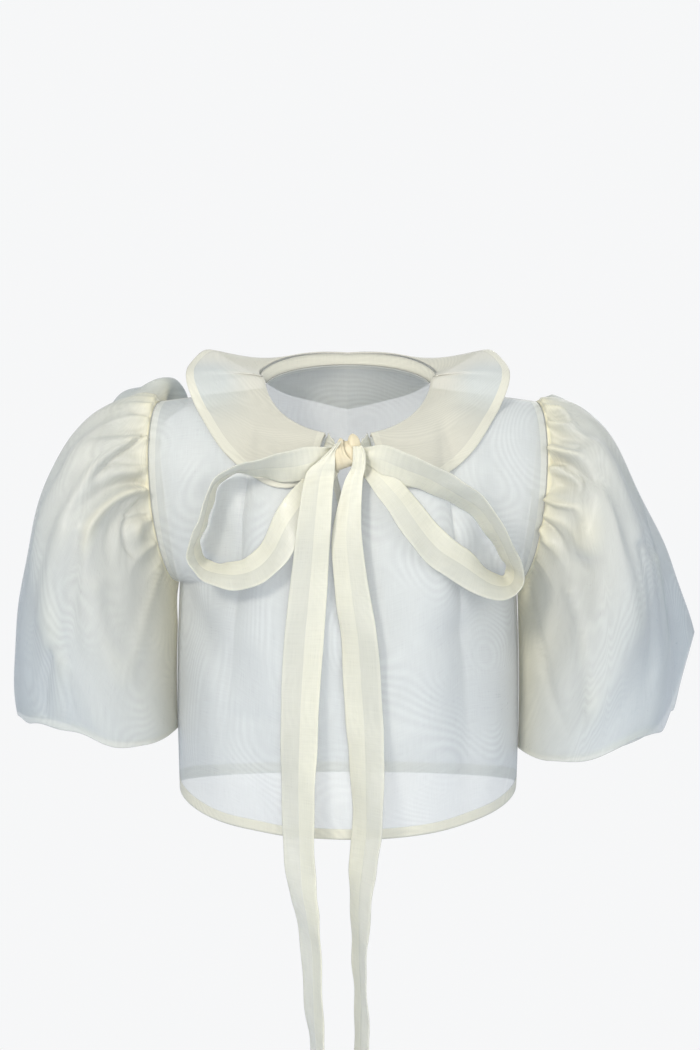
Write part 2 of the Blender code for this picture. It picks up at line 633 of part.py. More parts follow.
def make_strap(name, side, material):
    """The short stretch of tie between the neckband's end and the knot."""
    start = seam_point(0.0, STRAP_WIDTH / 2)
    start.x -= STRAP_INSET
    shoulder, waist = KNOT_ROWS[2:4]
    end = Vector((waist.half_width + STRAP_INSET, KNOT_Y, shoulder.z))
    points = []
    for u in (0.0, 0.33, 0.67, 1.0):
        middle = start.lerp(end, u)
        half = Vector((STRAP_LEAN, 0.0, 1.0)).normalized() * (STRAP_WIDTH / 2 * (1 - STRAP_GATHER * u))
        for point in (middle - half, middle + half):
            point.x *= side
            points.append(point)
    cloth_object(name, (points, grid_faces(2, 4)), material)


def make_knot(material):
    """A soft lump with a narrow top, closed at both ends."""
    points = []
    for row in KNOT_ROWS:
        for k in range(KNOT_SIDES):
            turn = 2 * math.pi * k / KNOT_SIDES
            points.append(Vector((row.shift + row.half_width * math.cos(turn),
                                  KNOT_Y + row.half_depth * math.sin(turn), row.z)))
    faces = grid_faces(KNOT_SIDES, len(KNOT_ROWS), round_columns=True)
    faces.append(tuple(range(KNOT_SIDES)))
    faces.append(tuple(reversed(range(len(points) - KNOT_SIDES, len(points)))))
    mesh = bpy.data.meshes.new("tie_knot")
    mesh.from_pydata([tuple(point) for point in points], [], faces)
    mesh.materials.append(material)
    mesh.shade_smooth()
    bpy.context.scene.collection.objects.link(bpy.data.objects.new("tie_knot", mesh))


# ---------------------------------------------------------------- build


def main():
    clear_scene()
    single = organza("organza_single", (0.86, 0.84, 0.76), 0.6)
    double = organza("organza_doubled", (0.88, 0.86, 0.72), 0.8)
    front = panel("front", FRONT, single)
    back = panel("back", BACK, single)
    body = surface_of(front, back)
    collar = make_collar(body, double)
    make_neckband(double)
    make_sleeve("sleeve_right", -1, SLEEVE_RIGHT, FOLDS_RIGHT, single)
    make_sleeve("sleeve_left", 1, SLEEVE_LEFT, FOLDS_LEFT, single)
    dressed = surface_of(front, collar)
    loops = [make_ribbon("tie_loop_right", LOOP_RIGHT, LOOP_STEPS, dressed, double),
             make_ribbon("tie_loop_left", LOOP_LEFT, LOOP_STEPS, dressed, double)]
    over_all = surface_of(front, collar, *loops)
    make_ribbon("tie_tail_right", TAIL_RIGHT, TAIL_STEPS, over_all, double)
    make_ribbon("tie_tail_left", TAIL_LEFT, TAIL_STEPS, over_all, double)
    make_knot(double)
    make_strap("tie_strap_right", -1, double)
    make_strap("tie_strap_left", 1, double)


main()
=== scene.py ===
# %% [markdown]
# # A sheer organza blouse with puff sleeves and a bow
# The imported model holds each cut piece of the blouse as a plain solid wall. This lesson builds finer cloth on
# the same forms: thin shells with gathers, hems and pleats, and one organza finish whose density follows the
# number of layers. Everything is in metres, +Z is up and the front faces -Y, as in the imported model.

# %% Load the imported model
import math
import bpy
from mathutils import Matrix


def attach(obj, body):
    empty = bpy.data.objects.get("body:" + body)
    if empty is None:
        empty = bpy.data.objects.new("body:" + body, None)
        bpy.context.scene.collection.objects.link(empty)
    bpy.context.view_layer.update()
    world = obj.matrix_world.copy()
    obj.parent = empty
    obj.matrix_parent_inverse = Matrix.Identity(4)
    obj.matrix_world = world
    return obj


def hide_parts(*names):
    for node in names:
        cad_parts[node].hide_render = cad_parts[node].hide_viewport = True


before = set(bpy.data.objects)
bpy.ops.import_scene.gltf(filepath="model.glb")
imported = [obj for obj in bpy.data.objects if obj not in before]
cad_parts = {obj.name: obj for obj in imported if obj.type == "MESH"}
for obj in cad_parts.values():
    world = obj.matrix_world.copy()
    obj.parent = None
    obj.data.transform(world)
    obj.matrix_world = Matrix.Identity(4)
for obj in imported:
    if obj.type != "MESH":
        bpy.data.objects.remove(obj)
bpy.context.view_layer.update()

from types import SimpleNamespace

import bmesh
import bpy
import numpy as np
from mathutils import Vector
from mathutils.bvhtree import BVHTree

# %% [markdown]
# ## The camera
# The camera stands 1.8 m in front of the blouse, a little above the shoulders, and looks down at the chest.
# A long lens keeps the sleeves from spreading. Nothing in the photograph gives its scale, so one is assumed,
# and the lens follows from it: where the camera aims, one pixel of the picture is one millimetre.

# %% Camera
PICTURE_WIDTH = 700     # pixels
PIXEL = 0.001           # metres that a pixel spans where the camera aims
SENSOR_WIDTH = 36.0
CAMERA_PLACE = Vector((0.002, -1.80, 0.10))
AIM_HEIGHT = -0.150

reach = math.hypot(CAMERA_PLACE.y, CAMERA_PLACE.z - AIM_HEIGHT)
pitch = math.atan2(CAMERA_PLACE.z - AIM_HEIGHT, -CAMERA_PLACE.y)
bpy.ops.object.camera_add(location=CAMERA_PLACE, rotation=(math.pi / 2 - pitch, 0, 0))
camera = bpy.context.object
camera.name = "camera"
camera.data.sensor_fit = "HORIZONTAL"
camera.data.sensor_width = SENSOR_WIDTH
camera.data.lens = SENSOR_WIDTH * reach / (PICTURE_WIDTH * PIXEL)
camera.data.clip_end = 200
bpy.context.scene.camera = camera
print("lens", round(camera.data.lens, 1), "mm, looking down", round(math.degrees(pitch), 1), "degrees")

# %% [markdown]
# ## Floor, sky and lamps
# Sheer cloth shows what is behind it, so the studio is as plain as it can be: a pale floor far below, a pale
# sky, and soft lamps. Floor and sky light the cloth only dimly, which leaves the lamps enough to do to model
# the folds. The key stands high on one side and shades every fold. A wide fill on the other side and a low
# lamp in front lift the shadows, and a lamp behind shines through the veil. To the camera floor and sky show
# the same pale tone, so that no horizon crosses the blouse.

# %% Studio
FLOOR_HEIGHT = -1.35
FLOOR_TONE = (0.40, 0.46, 0.58)
SKY_LIGHT = 0.66
SKY_TONE = (0.88, 0.94, 1.0)
SEEN_TONE = (0.925, 0.93, 0.937)     # what the camera sees of sky and floor


def studio_floor():
    bpy.ops.mesh.primitive_circle_add(vertices=96, radius=60, fill_type="NGON", location=(0, 0, FLOOR_HEIGHT))
    floor = bpy.context.object
    floor.name = "studio_floor"
    material = bpy.data.materials.new("pale_floor")
    material.use_nodes = True
    tree = material.node_tree
    shader = tree.nodes["Principled BSDF"]
    shader.inputs["Base Color"].default_value = (*FLOOR_TONE, 1.0)
    shader.inputs["Roughness"].default_value = 0.9
    seen = tree.nodes.new("ShaderNodeEmission")
    seen.inputs["Color"].default_value = (*SEEN_TONE, 1.0)
    seen_by = tree.nodes.new("ShaderNodeLightPath")
    mix = tree.nodes.new("ShaderNodeMixShader")
    tree.links.new(seen_by.outputs["Is Camera Ray"], mix.inputs["Fac"])
    tree.links.new(shader.outputs["BSDF"], mix.inputs[1])
    tree.links.new(seen.outputs["Emission"], mix.inputs[2])
    tree.links.new(mix.outputs["Shader"], tree.nodes["Material Output"].inputs["Surface"])
    floor.data.materials.append(material)


def studio_sky():
    """A sky that lights the scene with one strength and shows itself to the camera with another."""
    world = bpy.data.worlds.new("studio")
    bpy.context.scene.world = world
    world.use_nodes = True
    tree = world.node_tree
    tree.nodes.clear()
    output = tree.nodes.new("ShaderNodeOutputWorld")
    lit = tree.nodes.new("ShaderNodeBackground")
    lit.inputs["Color"].default_value = (*SKY_TONE, 1.0)
    lit.inputs["Strength"].default_value = SKY_LIGHT
    seen = tree.nodes.new("ShaderNodeBackground")
    seen.inputs["Color"].default_value = (*SEEN_TONE, 1.0)
    kind = tree.nodes.new("ShaderNodeLightPath")
    mix = tree.nodes.new("ShaderNodeMixShader")
    tree.links.new(kind.outputs["Is Camera Ray"], mix.inputs["Fac"])
    tree.links.new(lit.outputs["Background"], mix.inputs[1])
    tree.links.new(seen.outputs["Background"], mix.inputs[2])
    tree.links.new(mix.outputs["Shader"], output.inputs["Surface"])


def soft_lamp(name, place, aim, size, power, colour):
    bpy.ops.object.light_add(type="AREA", location=place)
    lamp = bpy.context.object
    lamp.name = name
    lamp.data.shape = "DISK"
    lamp.data.size = size
    lamp.data.energy = power
    lamp.data.color = colour
    lamp.rotation_euler = (Vector(aim) - Vector(place)).to_track_quat("-Z", "Y").to_euler()


studio_floor()
studio_sky()
CHEST = (0, 0, -0.2)
soft_lamp("key", (-1.3, -2.3, 1.35), CHEST, 0.7, 48, (1.0, 0.95, 0.86))
soft_lamp("fill", (2.2, -2.2, 0.5), CHEST, 1.8, 20, (1.0, 0.98, 0.95))
soft_lamp("low_front", (0.4, -2.6, -0.6), CHEST, 1.8, 19, (1.0, 0.97, 0.92))
soft_lamp("back", (0.8, 2.6, 1.2), CHEST, 1.2, 14, (1.0, 0.97, 0.92))

bpy.context.scene.view_settings.view_transform = "Standard"
cycles = bpy.context.scene.cycles
cycles.transparent_max_bounces = 40
cycles.max_bounces = 4
cycles.diffuse_bounces = 2
cycles.glossy_bounces = 1

# %% [markdown]
# ## Tables that read smoothly
# A garment's form is easiest to steer by a few rows: at this place the cloth stands so far out, and hangs so
# steeply. A table holds such rows under named columns and gives smooth values at any place between them. A
# table whose last row repeats its first goes round, as a sleeve does.

# %% Tables and curves


def hermite(start, leave, end, arrive, u):
    """A cubic from start to end with these slopes at its ends."""
    return (start * (1 + 2 * u) * (1 - u) ** 2 + leave * u * (1 - u) ** 2
            + end * u * u * (3 - 2 * u) + arrive * u * u * (u - 1))


def ease(u):
    """0 to 1 with flat ends."""
    u = np.clip(u, 0.0, 1.0)
    return u * u * (3 - 2 * u)


def xyz(x, y, z):
    return np.stack(np.broadcast_arrays(x, y, z), -1).astype(float)


class Table:
    """Rows of numbers under named columns, the first of which is the place along the piece."""

    def __init__(self, names, *rows):
        self.names = names.split()[1:]
        self.rows = np.array(rows, float)
        self.knots, self.values = self.rows[:, 0], self.rows[:, 1:]
        before = np.vstack([self.rows[:1], self.rows[:-1]])
        after = np.vstack([self.rows[1:], self.rows[-1:]])
        if np.allclose(self.values[0], self.values[-1]):
            turn = np.zeros(len(self.rows[0]))
            turn[0] = self.knots[-1] - self.knots[0]
            before[0] = self.rows[-2] - turn
            after[-1] = self.rows[1] + turn
        self.slopes = (after - before)[:, 1:] / (after - before)[:, :1]

    def at(self, place):
        place = np.clip(np.asarray(place, float), self.knots[0], self.knots[-1])
        i = np.clip(np.searchsorted(self.knots, place, side="right") - 1, 0, len(self.knots) - 2)
        length = (self.knots[i + 1] - self.knots[i])[..., None]
        u = (place[..., None] - self.knots[i][..., None]) / length
        read = hermite(self.values[i], self.slopes[i] * length, self.values[i + 1],
                       self.slopes[i + 1] * length, u)
        return SimpleNamespace(**{name: read[..., k] for k, name in enumerate(self.names)})


def stepped(*lines):
    """Grid lines between 0 and 1: each pair is (where a stretch ends, how many steps it takes)."""
    places, last = [0.0], 0.0
    for end, steps in lines:
        places += [last + (end - last) * (k + 1) / steps for k in range(steps)]
        last = end
    return np.array(places)


# %% [markdown]
# ## From a grid of points to a piece of cloth
# Each piece is computed as a grid: rows run down the cloth and columns across it. Two values go with each
# point. layers says how many layers of organza lie there, one in the open cloth, two in a hem. The other is
# painted shade, from 0 to 1: how much darker and more bluish the colour is made where the cloth hangs in
# shade. Solidify then gives the sheet its two faces, so that the finished mesh is a closed thin shell. The
# cloth's own flat coordinates, in metres, are kept as its UV map, and the weave follows them.

# %% Cloth from grids
SHELL = 0.0006          # thickness of the modelled organza
DOUBLED_SHELL = 0.0010


def grid_quads(rows, columns, flip=False, closed=False):
    quads = []
    for j in range(rows - 1):
        for i in range(columns if closed else columns - 1):
            k = (i + 1) % columns
            quad = (j * columns + i, (j + 1) * columns + i, (j + 1) * columns + k, j * columns + k)
            quads.append(quad[::-1] if flip else quad)
    return quads


def flat_lengths(points, closed=False):
    """The cloth's flat coordinates: metres along each row from its middle, and metres down each column."""
    ring = np.concatenate([points, points[:, :1]], 1) if closed else points
    across = np.linalg.norm(np.diff(ring, axis=1), axis=2)
    u = np.concatenate([np.zeros((len(ring), 1)), np.cumsum(across, 1)], 1)
    u -= u[:, -1:] / 2
    down = np.linalg.norm(np.diff(ring, axis=0), axis=2)
    v = np.concatenate([np.zeros((1, ring.shape[1])), np.cumsum(down, 0)], 0)
    return np.stack([u, -v], -1)


def grid_normals(points, flip=False, closed=False):
    """Smooth unit normals of a grid."""
    if closed:
        wide = np.concatenate([points[:, -1:], points, points[:, :1]], 1)
        along = (wide[:, 2:] - wide[:, :-2]) / 2
    else:
        along = np.gradient(points, axis=1)
    fall = np.gradient(points, axis=0)
    normal = np.cross(fall, along)
    normal /= np.maximum(np.linalg.norm(normal, axis=2, keepdims=True), 1e-9)
    return -normal if flip else normal


def cloth_mesh(name, grids, flip=False, closed=False):
    """A mesh from one or more grids, each (points, layers, flat) or with a fourth array, its painted shade."""
    verts, faces, layers, painted_shades, flats = [], [], [], [], []
    for points, dense, flat, *painted_shade in grids:
        rows, columns = points.shape[:2]
        first = len(verts)
        verts += [tuple(p) for p in points.reshape(-1, 3)]
        layers += list(dense.reshape(-1))
        painted_shades += list(painted_shade[0].reshape(-1)) if painted_shade else [0.0] * dense.size
        for quad in grid_quads(rows, columns, flip, closed):
            faces.append([first + corner for corner in quad])
            low = min(corner % columns for corner in quad)
            wraps = closed and low == 0 and max(corner % columns for corner in quad) == columns - 1
            for corner in quad:
                j, i = divmod(corner, columns)
                flats.append(flat[j, columns if wraps and i == 0 else i])
    mesh = bpy.data.meshes.new(name)
    mesh.from_pydata(verts, [], faces)
    mesh.attributes.new("layers", "FLOAT", "POINT").data.foreach_set("value", np.array(layers, np.float32))
    mesh.attributes.new("painted_shade", "FLOAT", "POINT").data.foreach_set("value", np.array(painted_shades, np.float32))
    mesh.uv_layers.new(name="cloth").data.foreach_set("uv", np.array(flats, np.float32).reshape(-1))
    mesh.shade_smooth()
    return mesh


def placed_object(name, mesh):
    piece = bpy.data.objects.new(name, mesh)
    bpy.context.scene.collection.objects.link(piece)
    return piece


def give_thickness(piece, thickness):
    """Turn a sheet into a closed shell. The piece stays the only selected one."""
    bpy.ops.object.select_all(action="DESELECT")
    bpy.context.view_layer.objects.active = piece
    piece.select_set(True)
    shell = piece.modifiers.new("shell", "SOLIDIFY")
    shell.offset = 0.0
    shell.thickness = thickness
    bpy.ops.object.modifier_apply(modifier=shell.name)


def stand_for(piece, node):
    """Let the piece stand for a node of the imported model."""
    piece.select_set(False)
    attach(piece, "root")
    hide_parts(node)


def cloth_piece(mesh, material, node, thickness=SHELL):
    """The finished piece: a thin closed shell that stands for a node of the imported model."""
    piece = placed_object(mesh.name, mesh)
    mesh.materials.append(material)
    area = sum(polygon.area for polygon in mesh.polygons)
    give_thickness(piece, thickness)
    stand_for(piece, node)
    print(piece.name, len(piece.data.polygons), "faces,", round(area, 4), "square metres of cloth")
    return piece


# %% [markdown]
# ## Organza
# Organza is a plain weave of twisted, shiny threads with open gaps. One layer is a veil, and each further
# layer hides more of what is behind, so seams, hems and facings read as creamy bands on a cooler, thinner
# cloth. Two shared node groups make it. The first gives the moire: where two layers lie over each other
# their threads beat, in rings and ripples like the grain of wood. The second turns the layer count into
# colour and alpha, and adds painted shade: it makes a veil that hangs free in the shade darker and bluish,
# as the real cloth looks there.
# The moire is strong on the wide pieces and faint on the tie.

# %% Shader groups


def new_group(name, inputs, outputs):
    group = bpy.data.node_groups.new(name, "ShaderNodeTree")
    for title, value in inputs:
        kind = {3: "NodeSocketVector", 4: "NodeSocketColor"}.get(len(value)) if hasattr(value, "__len__") \
            else "NodeSocketFloat"
        socket = group.interface.new_socket(title, in_out="INPUT", socket_type=kind)
        socket.default_value = value
    for title, kind in outputs:
        group.interface.new_socket(title, in_out="OUTPUT", socket_type=kind)
    return group, group.nodes.new("NodeGroupInput"), group.nodes.new("NodeGroupOutput")


def maths(tree, operation, first, second=None, third=None, clamp=False):
    """A Math node. Inputs are sockets or numbers."""
    node = tree.nodes.new("ShaderNodeMath")
    node.operation = operation
    node.use_clamp = clamp
    for socket, value in zip(node.inputs, (first, second, third)):
        if isinstance(value, bpy.types.NodeSocket):
            tree.links.new(value, socket)
        elif value is not None:
            socket.default_value = value
    return node.outputs[0]


def weighted(tree, start, *terms, clamp=False):
    """start and each term times its weight, added up in a chain of Math nodes."""
    total = start
    for term, weight in terms:
        total = maths(tree, "MULTIPLY_ADD", term, weight, total)
    total.node.use_clamp = clamp
    return total


def blended(tree, factor, *colours):
    """A mix of two colours."""
    node = tree.nodes.new("ShaderNodeMix")
    node.data_type = "RGBA"
    tree.links.new(factor, node.inputs["Factor"])
    ends = [socket for socket in node.inputs if socket.type == "RGBA"]
    for socket, colour in zip(ends, colours):
        tree.links.new(colour, socket)
    return [socket for socket in node.outputs if socket.type == "RGBA"][0]


def vector_maths(tree, operation, vector):
    node = tree.nodes.new("ShaderNodeVectorMath")
    node.operation = operation
    tree.links.new(vector, node.inputs[0])
    return node


def noise(tree, vector, scale, detail):
    node = tree.nodes.new("ShaderNodeTexNoise")
    tree.links.new(vector, node.inputs["Vector"])
    node.inputs["Scale"].default_value = scale
    node.inputs["Detail"].default_value = detail
    return node.outputs["Fac"]


def stretched(tree, vector, scale):
    node = tree.nodes.new("ShaderNodeMapping")
    tree.links.new(vector, node.inputs["Vector"])
    node.inputs["Scale"].default_value = scale
    return node.outputs["Vector"]


# Sizes of the patterns, in repeats for each metre of cloth
HILLS, PATCHES, CRUMPLES, GRAIN = 8.0, 13.0, 42.0, 330.0
THREADS_ACROSS, THREADS_ALONG = 1100.0, 50.0
PATCH_FROM, PATCH_EDGE = 0.44, 6.0          # where the moire begins to show, and how sharply
THREAD_DEPTH, CLOUD_DEPTH = 0.05, 0.12      # shares of the cloth's brightness
COVER_UNEVEN = 0.5                          # how much of that unevenness the cover has too
# painted shade: where the painted shade is 1, the colour is multiplied by this, darker and bluish
PAINTED_SHADE_TINT = (0.82, 0.89, 1.0)               # the colour is multiplied by it where cool is 1
DULL, DULL_CLOUDS, DULL_THREADS, DULL_LINES = 0.47, 0.30, 0.40, 0.06       # roughness, and what varies it
CRUMPLE_HEIGHT, GRAIN_HEIGHT, THREAD_HEIGHT = 0.0012, 0.00014, 0.00005     # metres


def moire_group():
    """Contour lines of a slow hilly field, in patches: the beat between two layers of thread."""
    group, given, made = new_group(
        "moire", [("Flat", (0.0, 0.0, 0.0)), ("Patches", 0.5), ("Rings", 230.0)],
        [("Lines", "NodeSocketFloat")])
    hills = noise(group, given.outputs["Flat"], HILLS, detail=0.0)
    rings = maths(group, "SINE", maths(group, "MULTIPLY", hills, given.outputs["Rings"]))
    above = maths(group, "SUBTRACT", given.outputs["Patches"], PATCH_FROM)
    seen = maths(group, "MULTIPLY", above, PATCH_EDGE, clamp=True)
    group.links.new(maths(group, "MULTIPLY", rings, seen), made.inputs["Lines"])
    return group


def organza_group(moire):
    """Colour, alpha, roughness and height of organza from its flat coordinates and its layer count, with
    painted shade, darker and bluish, where it is given.
    """
    group, given, made = new_group(
        "organza",
        [("Flat", (0.0, 0.0, 0.0)), ("Layers", 1.0), ("Painted Shade", 0.0), ("Veil", (0.6, 0.64, 0.63, 1.0)),
         ("Dense", (0.8, 0.8, 0.66, 1.0)), ("Cover", 0.3), ("Dense From", 1.0), ("Dense To", 3.0),
         ("Moire", 0.03)],
        [("Color", "NodeSocketColor"), ("Alpha", "NodeSocketFloat"), ("Roughness", "NodeSocketFloat"),
         ("Height", "NodeSocketFloat")])
    flat, layers = given.outputs["Flat"], given.outputs["Layers"]
    patches = noise(group, flat, PATCHES, detail=1.0)
    warp = noise(group, stretched(group, flat, (THREADS_ACROSS, THREADS_ALONG, 1.0)), 1.0, detail=0.0)
    weft = noise(group, stretched(group, flat, (THREADS_ALONG, THREADS_ACROSS, 1.0)), 1.0, detail=0.0)
    crumple = noise(group, flat, CRUMPLES, detail=1.0)
    grain = noise(group, flat, GRAIN, detail=2.0)
    beat = group.nodes.new("ShaderNodeGroup")
    beat.node_tree = moire
    group.links.new(flat, beat.inputs["Flat"])
    group.links.new(patches, beat.inputs["Patches"])
    lines = beat.outputs["Lines"]
    threads = maths(group, "SUBTRACT", maths(group, "ADD", warp, weft), 1.0)
    clouds = maths(group, "SUBTRACT", patches, 0.5)
    uneven = weighted(group, 0.0, (clouds, CLOUD_DEPTH), (threads, THREAD_DEPTH),
                      (lines, given.outputs["Moire"]))
    span = maths(group, "SUBTRACT", given.outputs["Dense To"], given.outputs["Dense From"])
    past = maths(group, "SUBTRACT", layers, given.outputs["Dense From"])
    share = maths(group, "DIVIDE", past, span, clamp=True)
    plain = blended(group, share, given.outputs["Veil"], given.outputs["Dense"])
    # painted shade: the colour is darkened and turned bluish by the amount given
    shaded = vector_maths(group, "MULTIPLY", plain)
    shaded.inputs[1].default_value = PAINTED_SHADE_TINT
    tinted = blended(group, given.outputs["Painted Shade"], plain, shaded.outputs["Vector"])
    bright = vector_maths(group, "SCALE", tinted)
    group.links.new(maths(group, "ADD", uneven, 1.0), bright.inputs["Scale"])
    group.links.new(bright.outputs["Vector"], made.inputs["Color"])
    gaps = maths(group, "POWER", maths(group, "SUBTRACT", 1.0, given.outputs["Cover"]), layers)
    cover = weighted(group, maths(group, "SUBTRACT", 1.0, gaps), (uneven, COVER_UNEVEN), clamp=True)
    group.links.new(cover, made.inputs["Alpha"])
    dull = weighted(group, DULL, (clouds, DULL_CLOUDS), (threads, DULL_THREADS), (lines, DULL_LINES),
                    clamp=True)
    group.links.new(dull, made.inputs["Roughness"])
    height = weighted(group, 0.0, (crumple, CRUMPLE_HEIGHT), (grain, GRAIN_HEIGHT), (threads, THREAD_HEIGHT))
    group.links.new(height, made.inputs["Height"])
    return group


ORGANZA = organza_group(moire_group())

# %% Materials
THROUGH_REACH = 0.0025      # metres that light spreads inside the cloth
BUMP_STRENGTH = 0.7
SHEEN_ROUGHNESS = 0.35
SPECULAR = 0.6


def organza_material(name, veil, dense, cover, dense_from, dense_to, moire, sheen, through):
    """A finish for one part of the blouse. cover is what one face of one layer hides, and through is how
    much of the light on one face of the shell comes out of the other."""
    material = bpy.data.materials.new(name)
    material.use_nodes = True
    tree = material.node_tree
    shader = tree.nodes["Principled BSDF"]
    flat = tree.nodes.new("ShaderNodeUVMap")
    flat.uv_map = "cloth"
    layers = tree.nodes.new("ShaderNodeAttribute")
    layers.attribute_name = "layers"
    # the amount of painted shade, stored with each point of the mesh
    painted_shade = tree.nodes.new("ShaderNodeAttribute")
    painted_shade.attribute_name = "painted_shade"
    weave = tree.nodes.new("ShaderNodeGroup")
    weave.node_tree = ORGANZA
    tree.links.new(flat.outputs["UV"], weave.inputs["Flat"])
    tree.links.new(layers.outputs["Fac"], weave.inputs["Layers"])
    tree.links.new(painted_shade.outputs["Fac"], weave.inputs["Painted Shade"])
    own_values = {"Veil": (*veil, 1.0), "Dense": (*dense, 1.0), "Cover": cover, "Dense From": dense_from,
                  "Dense To": dense_to, "Moire": moire}
    for title, value in own_values.items():
        weave.inputs[title].default_value = value
    for title, socket in (("Color", "Base Color"), ("Alpha", "Alpha"), ("Roughness", "Roughness")):
        tree.links.new(weave.outputs[title], shader.inputs[socket])
    bump = tree.nodes.new("ShaderNodeBump")
    bump.inputs["Strength"].default_value = BUMP_STRENGTH
    bump.inputs["Distance"].default_value = 1.0
    tree.links.new(weave.outputs["Height"], bump.inputs["Height"])
    tree.links.new(bump.outputs["Normal"], shader.inputs["Normal"])
    shader.inputs["Sheen Weight"].default_value = sheen
    shader.inputs["Sheen Roughness"].default_value = SHEEN_ROUGHNESS
    shader.inputs["Specular IOR Level"].default_value = SPECULAR
    shader.inputs["Subsurface Weight"].default_value = through
    shader.inputs["Subsurface Radius"].default_value = (1.0, 1.0, 0.9)
    shader.inputs["Subsurface Scale"].default_value = THROUGH_REACH
    return material


CLOTH_VALUES = {
    "organza_body": ((0.770, 0.795, 0.780), (0.88, 0.84, 0.65), 0.41, 1.0, 2.8, 0.030, 0.3, 0.0),
    "organza_sleeve": ((0.720, 0.727, 0.676), (0.87, 0.82, 0.60), 0.41, 1.0, 2.8, 0.030, 0.3, 0.0),
    "organza_collar": ((0.76, 0.735, 0.63), (0.79, 0.78, 0.66), 0.39, 1.8, 4.0, 0.026, 0.2, 0.0),
    "organza_tie": ((0.785, 0.78, 0.68), (0.84, 0.82, 0.67), 0.40, 1.8, 3.8, 0.010, 0.2, 0.4),
    "organza_knot": ((0.78, 0.71, 0.53), (0.76, 0.67, 0.47), 0.40, 1.8, 3.8, 0.006, 0.2, 0.0),
}
CLOTHS = {name: organza_material(name, *values) for name, values in CLOTH_VALUES.items()}

# %% [markdown]
# ## The body's form
# Front and back hang from the neck seam and the shoulder seams. A point of a half panel has two
# coordinates: across, from the centre line (0) to the side (1), and down, from the top edge (0) to the hem
# (1). Half of the across range starts on the neck seam and the rest on the shoulder. Half of the down range
# ends on the armhole and the rest on the side seam.

# %% Body sizes
FRONT, BACK = -1.0, 1.0
NECK_HALF_WIDTH = 0.083
NECK_POINT = np.array([NECK_HALF_WIDTH, 0.004, -0.0135])
NECK_CENTRE = {FRONT: (-0.087, -0.056), BACK: (0.066, 0.006)}       # y and z at the centre line
SHOULDER_TIP = np.array([0.186, 0.006, -0.027])
UNDERARM = np.array([0.169, 0.004, -0.207])
ARMHOLE_REACH = {FRONT: 0.058, BACK: 0.064}
ARMHOLE_SWELL = 0.013
HEM_HALF_WIDTH = 0.171
HEM_DEPTH = {FRONT: 0.118, BACK: 0.100}
HEM_SIDE_Z = -0.414
HEM_CENTRE_Z = {FRONT: -0.438, BACK: -0.432}
HEM_FALL = 0.36
SIDE_SWELL = 0.0025
SIDE_PULL_FROM = 0.35   # across, where the side seam begins to draw the cloth to it
NECK_SHARE = ARM_SHARE = 0.5
FALLS = {
    FRONT: Table("across out forward down hem_in",
                 (0.00, 0.00, 0.13, 0.20, 0.06),
                 (0.50, 0.02, 0.44, 0.10, 0.10),
                 (0.75, 0.01, 0.38, 0.12, 0.05),
                 (1.00, 0.00, 0.28, 0.16, 0.00)),
    BACK: Table("across out forward down hem_in",
                (0.00, 0.00, 0.16, 0.16, 0.06),
                (0.50, 0.02, 0.36, 0.08, 0.08),
                (0.75, 0.01, 0.32, 0.10, 0.04),
                (1.00, 0.00, 0.28, 0.16, 0.00)),
}
SLIT = Table("down half_width", (0.0, 0.013), (0.05, 0.0135), (0.10, 0.012), (0.15, 0.009), (0.20, 0.0045),
             (0.25, 0.0))

# %% Body surface


def top_edge(across, facing):
    y, z = NECK_CENTRE[facing]
    turn = np.radians(90 * np.minimum(across / NECK_SHARE, 1.0))
    neck = xyz(NECK_HALF_WIDTH * np.sin(turn), NECK_POINT[1] + (y - NECK_POINT[1]) * np.cos(turn),
               NECK_POINT[2] + (z - NECK_POINT[2]) * np.cos(turn))
    u = np.clip((across - NECK_SHARE) / (1 - NECK_SHARE), 0, 1)[..., None]
    return np.where((across <= NECK_SHARE)[..., None], neck, NECK_POINT * (1 - u) + SHOULDER_TIP * u)


def hem_edge(across, facing):
    turn = np.radians(90 * across)
    return xyz(HEM_HALF_WIDTH * np.sin(turn), facing * HEM_DEPTH[facing] * np.cos(turn),
               HEM_SIDE_Z + (HEM_CENTRE_Z[facing] - HEM_SIDE_Z) * np.cos(turn))


def side_edge(down, facing):
    turn = np.pi * np.clip(down / ARM_SHARE, 0, 1)
    swing = ((1 - np.cos(turn)) / 2)[..., None]
    arm = SHOULDER_TIP * (1 - swing) + UNDERARM * swing
    arm = arm + xyz(ARMHOLE_SWELL * np.sin(turn), facing * ARMHOLE_REACH[facing] * np.sin(turn), 0.0)
    u = np.clip((down - ARM_SHARE) / (1 - ARM_SHARE), 0, 1)[..., None]
    side = UNDERARM * (1 - u) + hem_edge(np.ones_like(down), facing) * u
    side = side + xyz(SIDE_SWELL * np.sin(np.pi * u[..., 0]), 0.0, 0.0)
    return np.where((down <= ARM_SHARE)[..., None], arm, side)


def fall_of_cloth(across, down, facing):
    row = FALLS[facing].at(across)
    leave = xyz(row.out, facing * row.forward, -row.down)
    arrive = xyz(0.0, -facing * row.hem_in, -HEM_FALL)
    return hermite(top_edge(across, facing), leave, hem_edge(across, facing), arrive, down[..., None])


def panel_point(across, down, facing):
    across, down = np.broadcast_arrays(np.asarray(across, float), np.asarray(down, float))
    pull = ease((across - SIDE_PULL_FROM) / (1 - SIDE_PULL_FROM))[..., None]
    gap = side_edge(down, facing) - fall_of_cloth(np.ones_like(across), down, facing)
    return fall_of_cloth(across, down, facing) + gap * pull


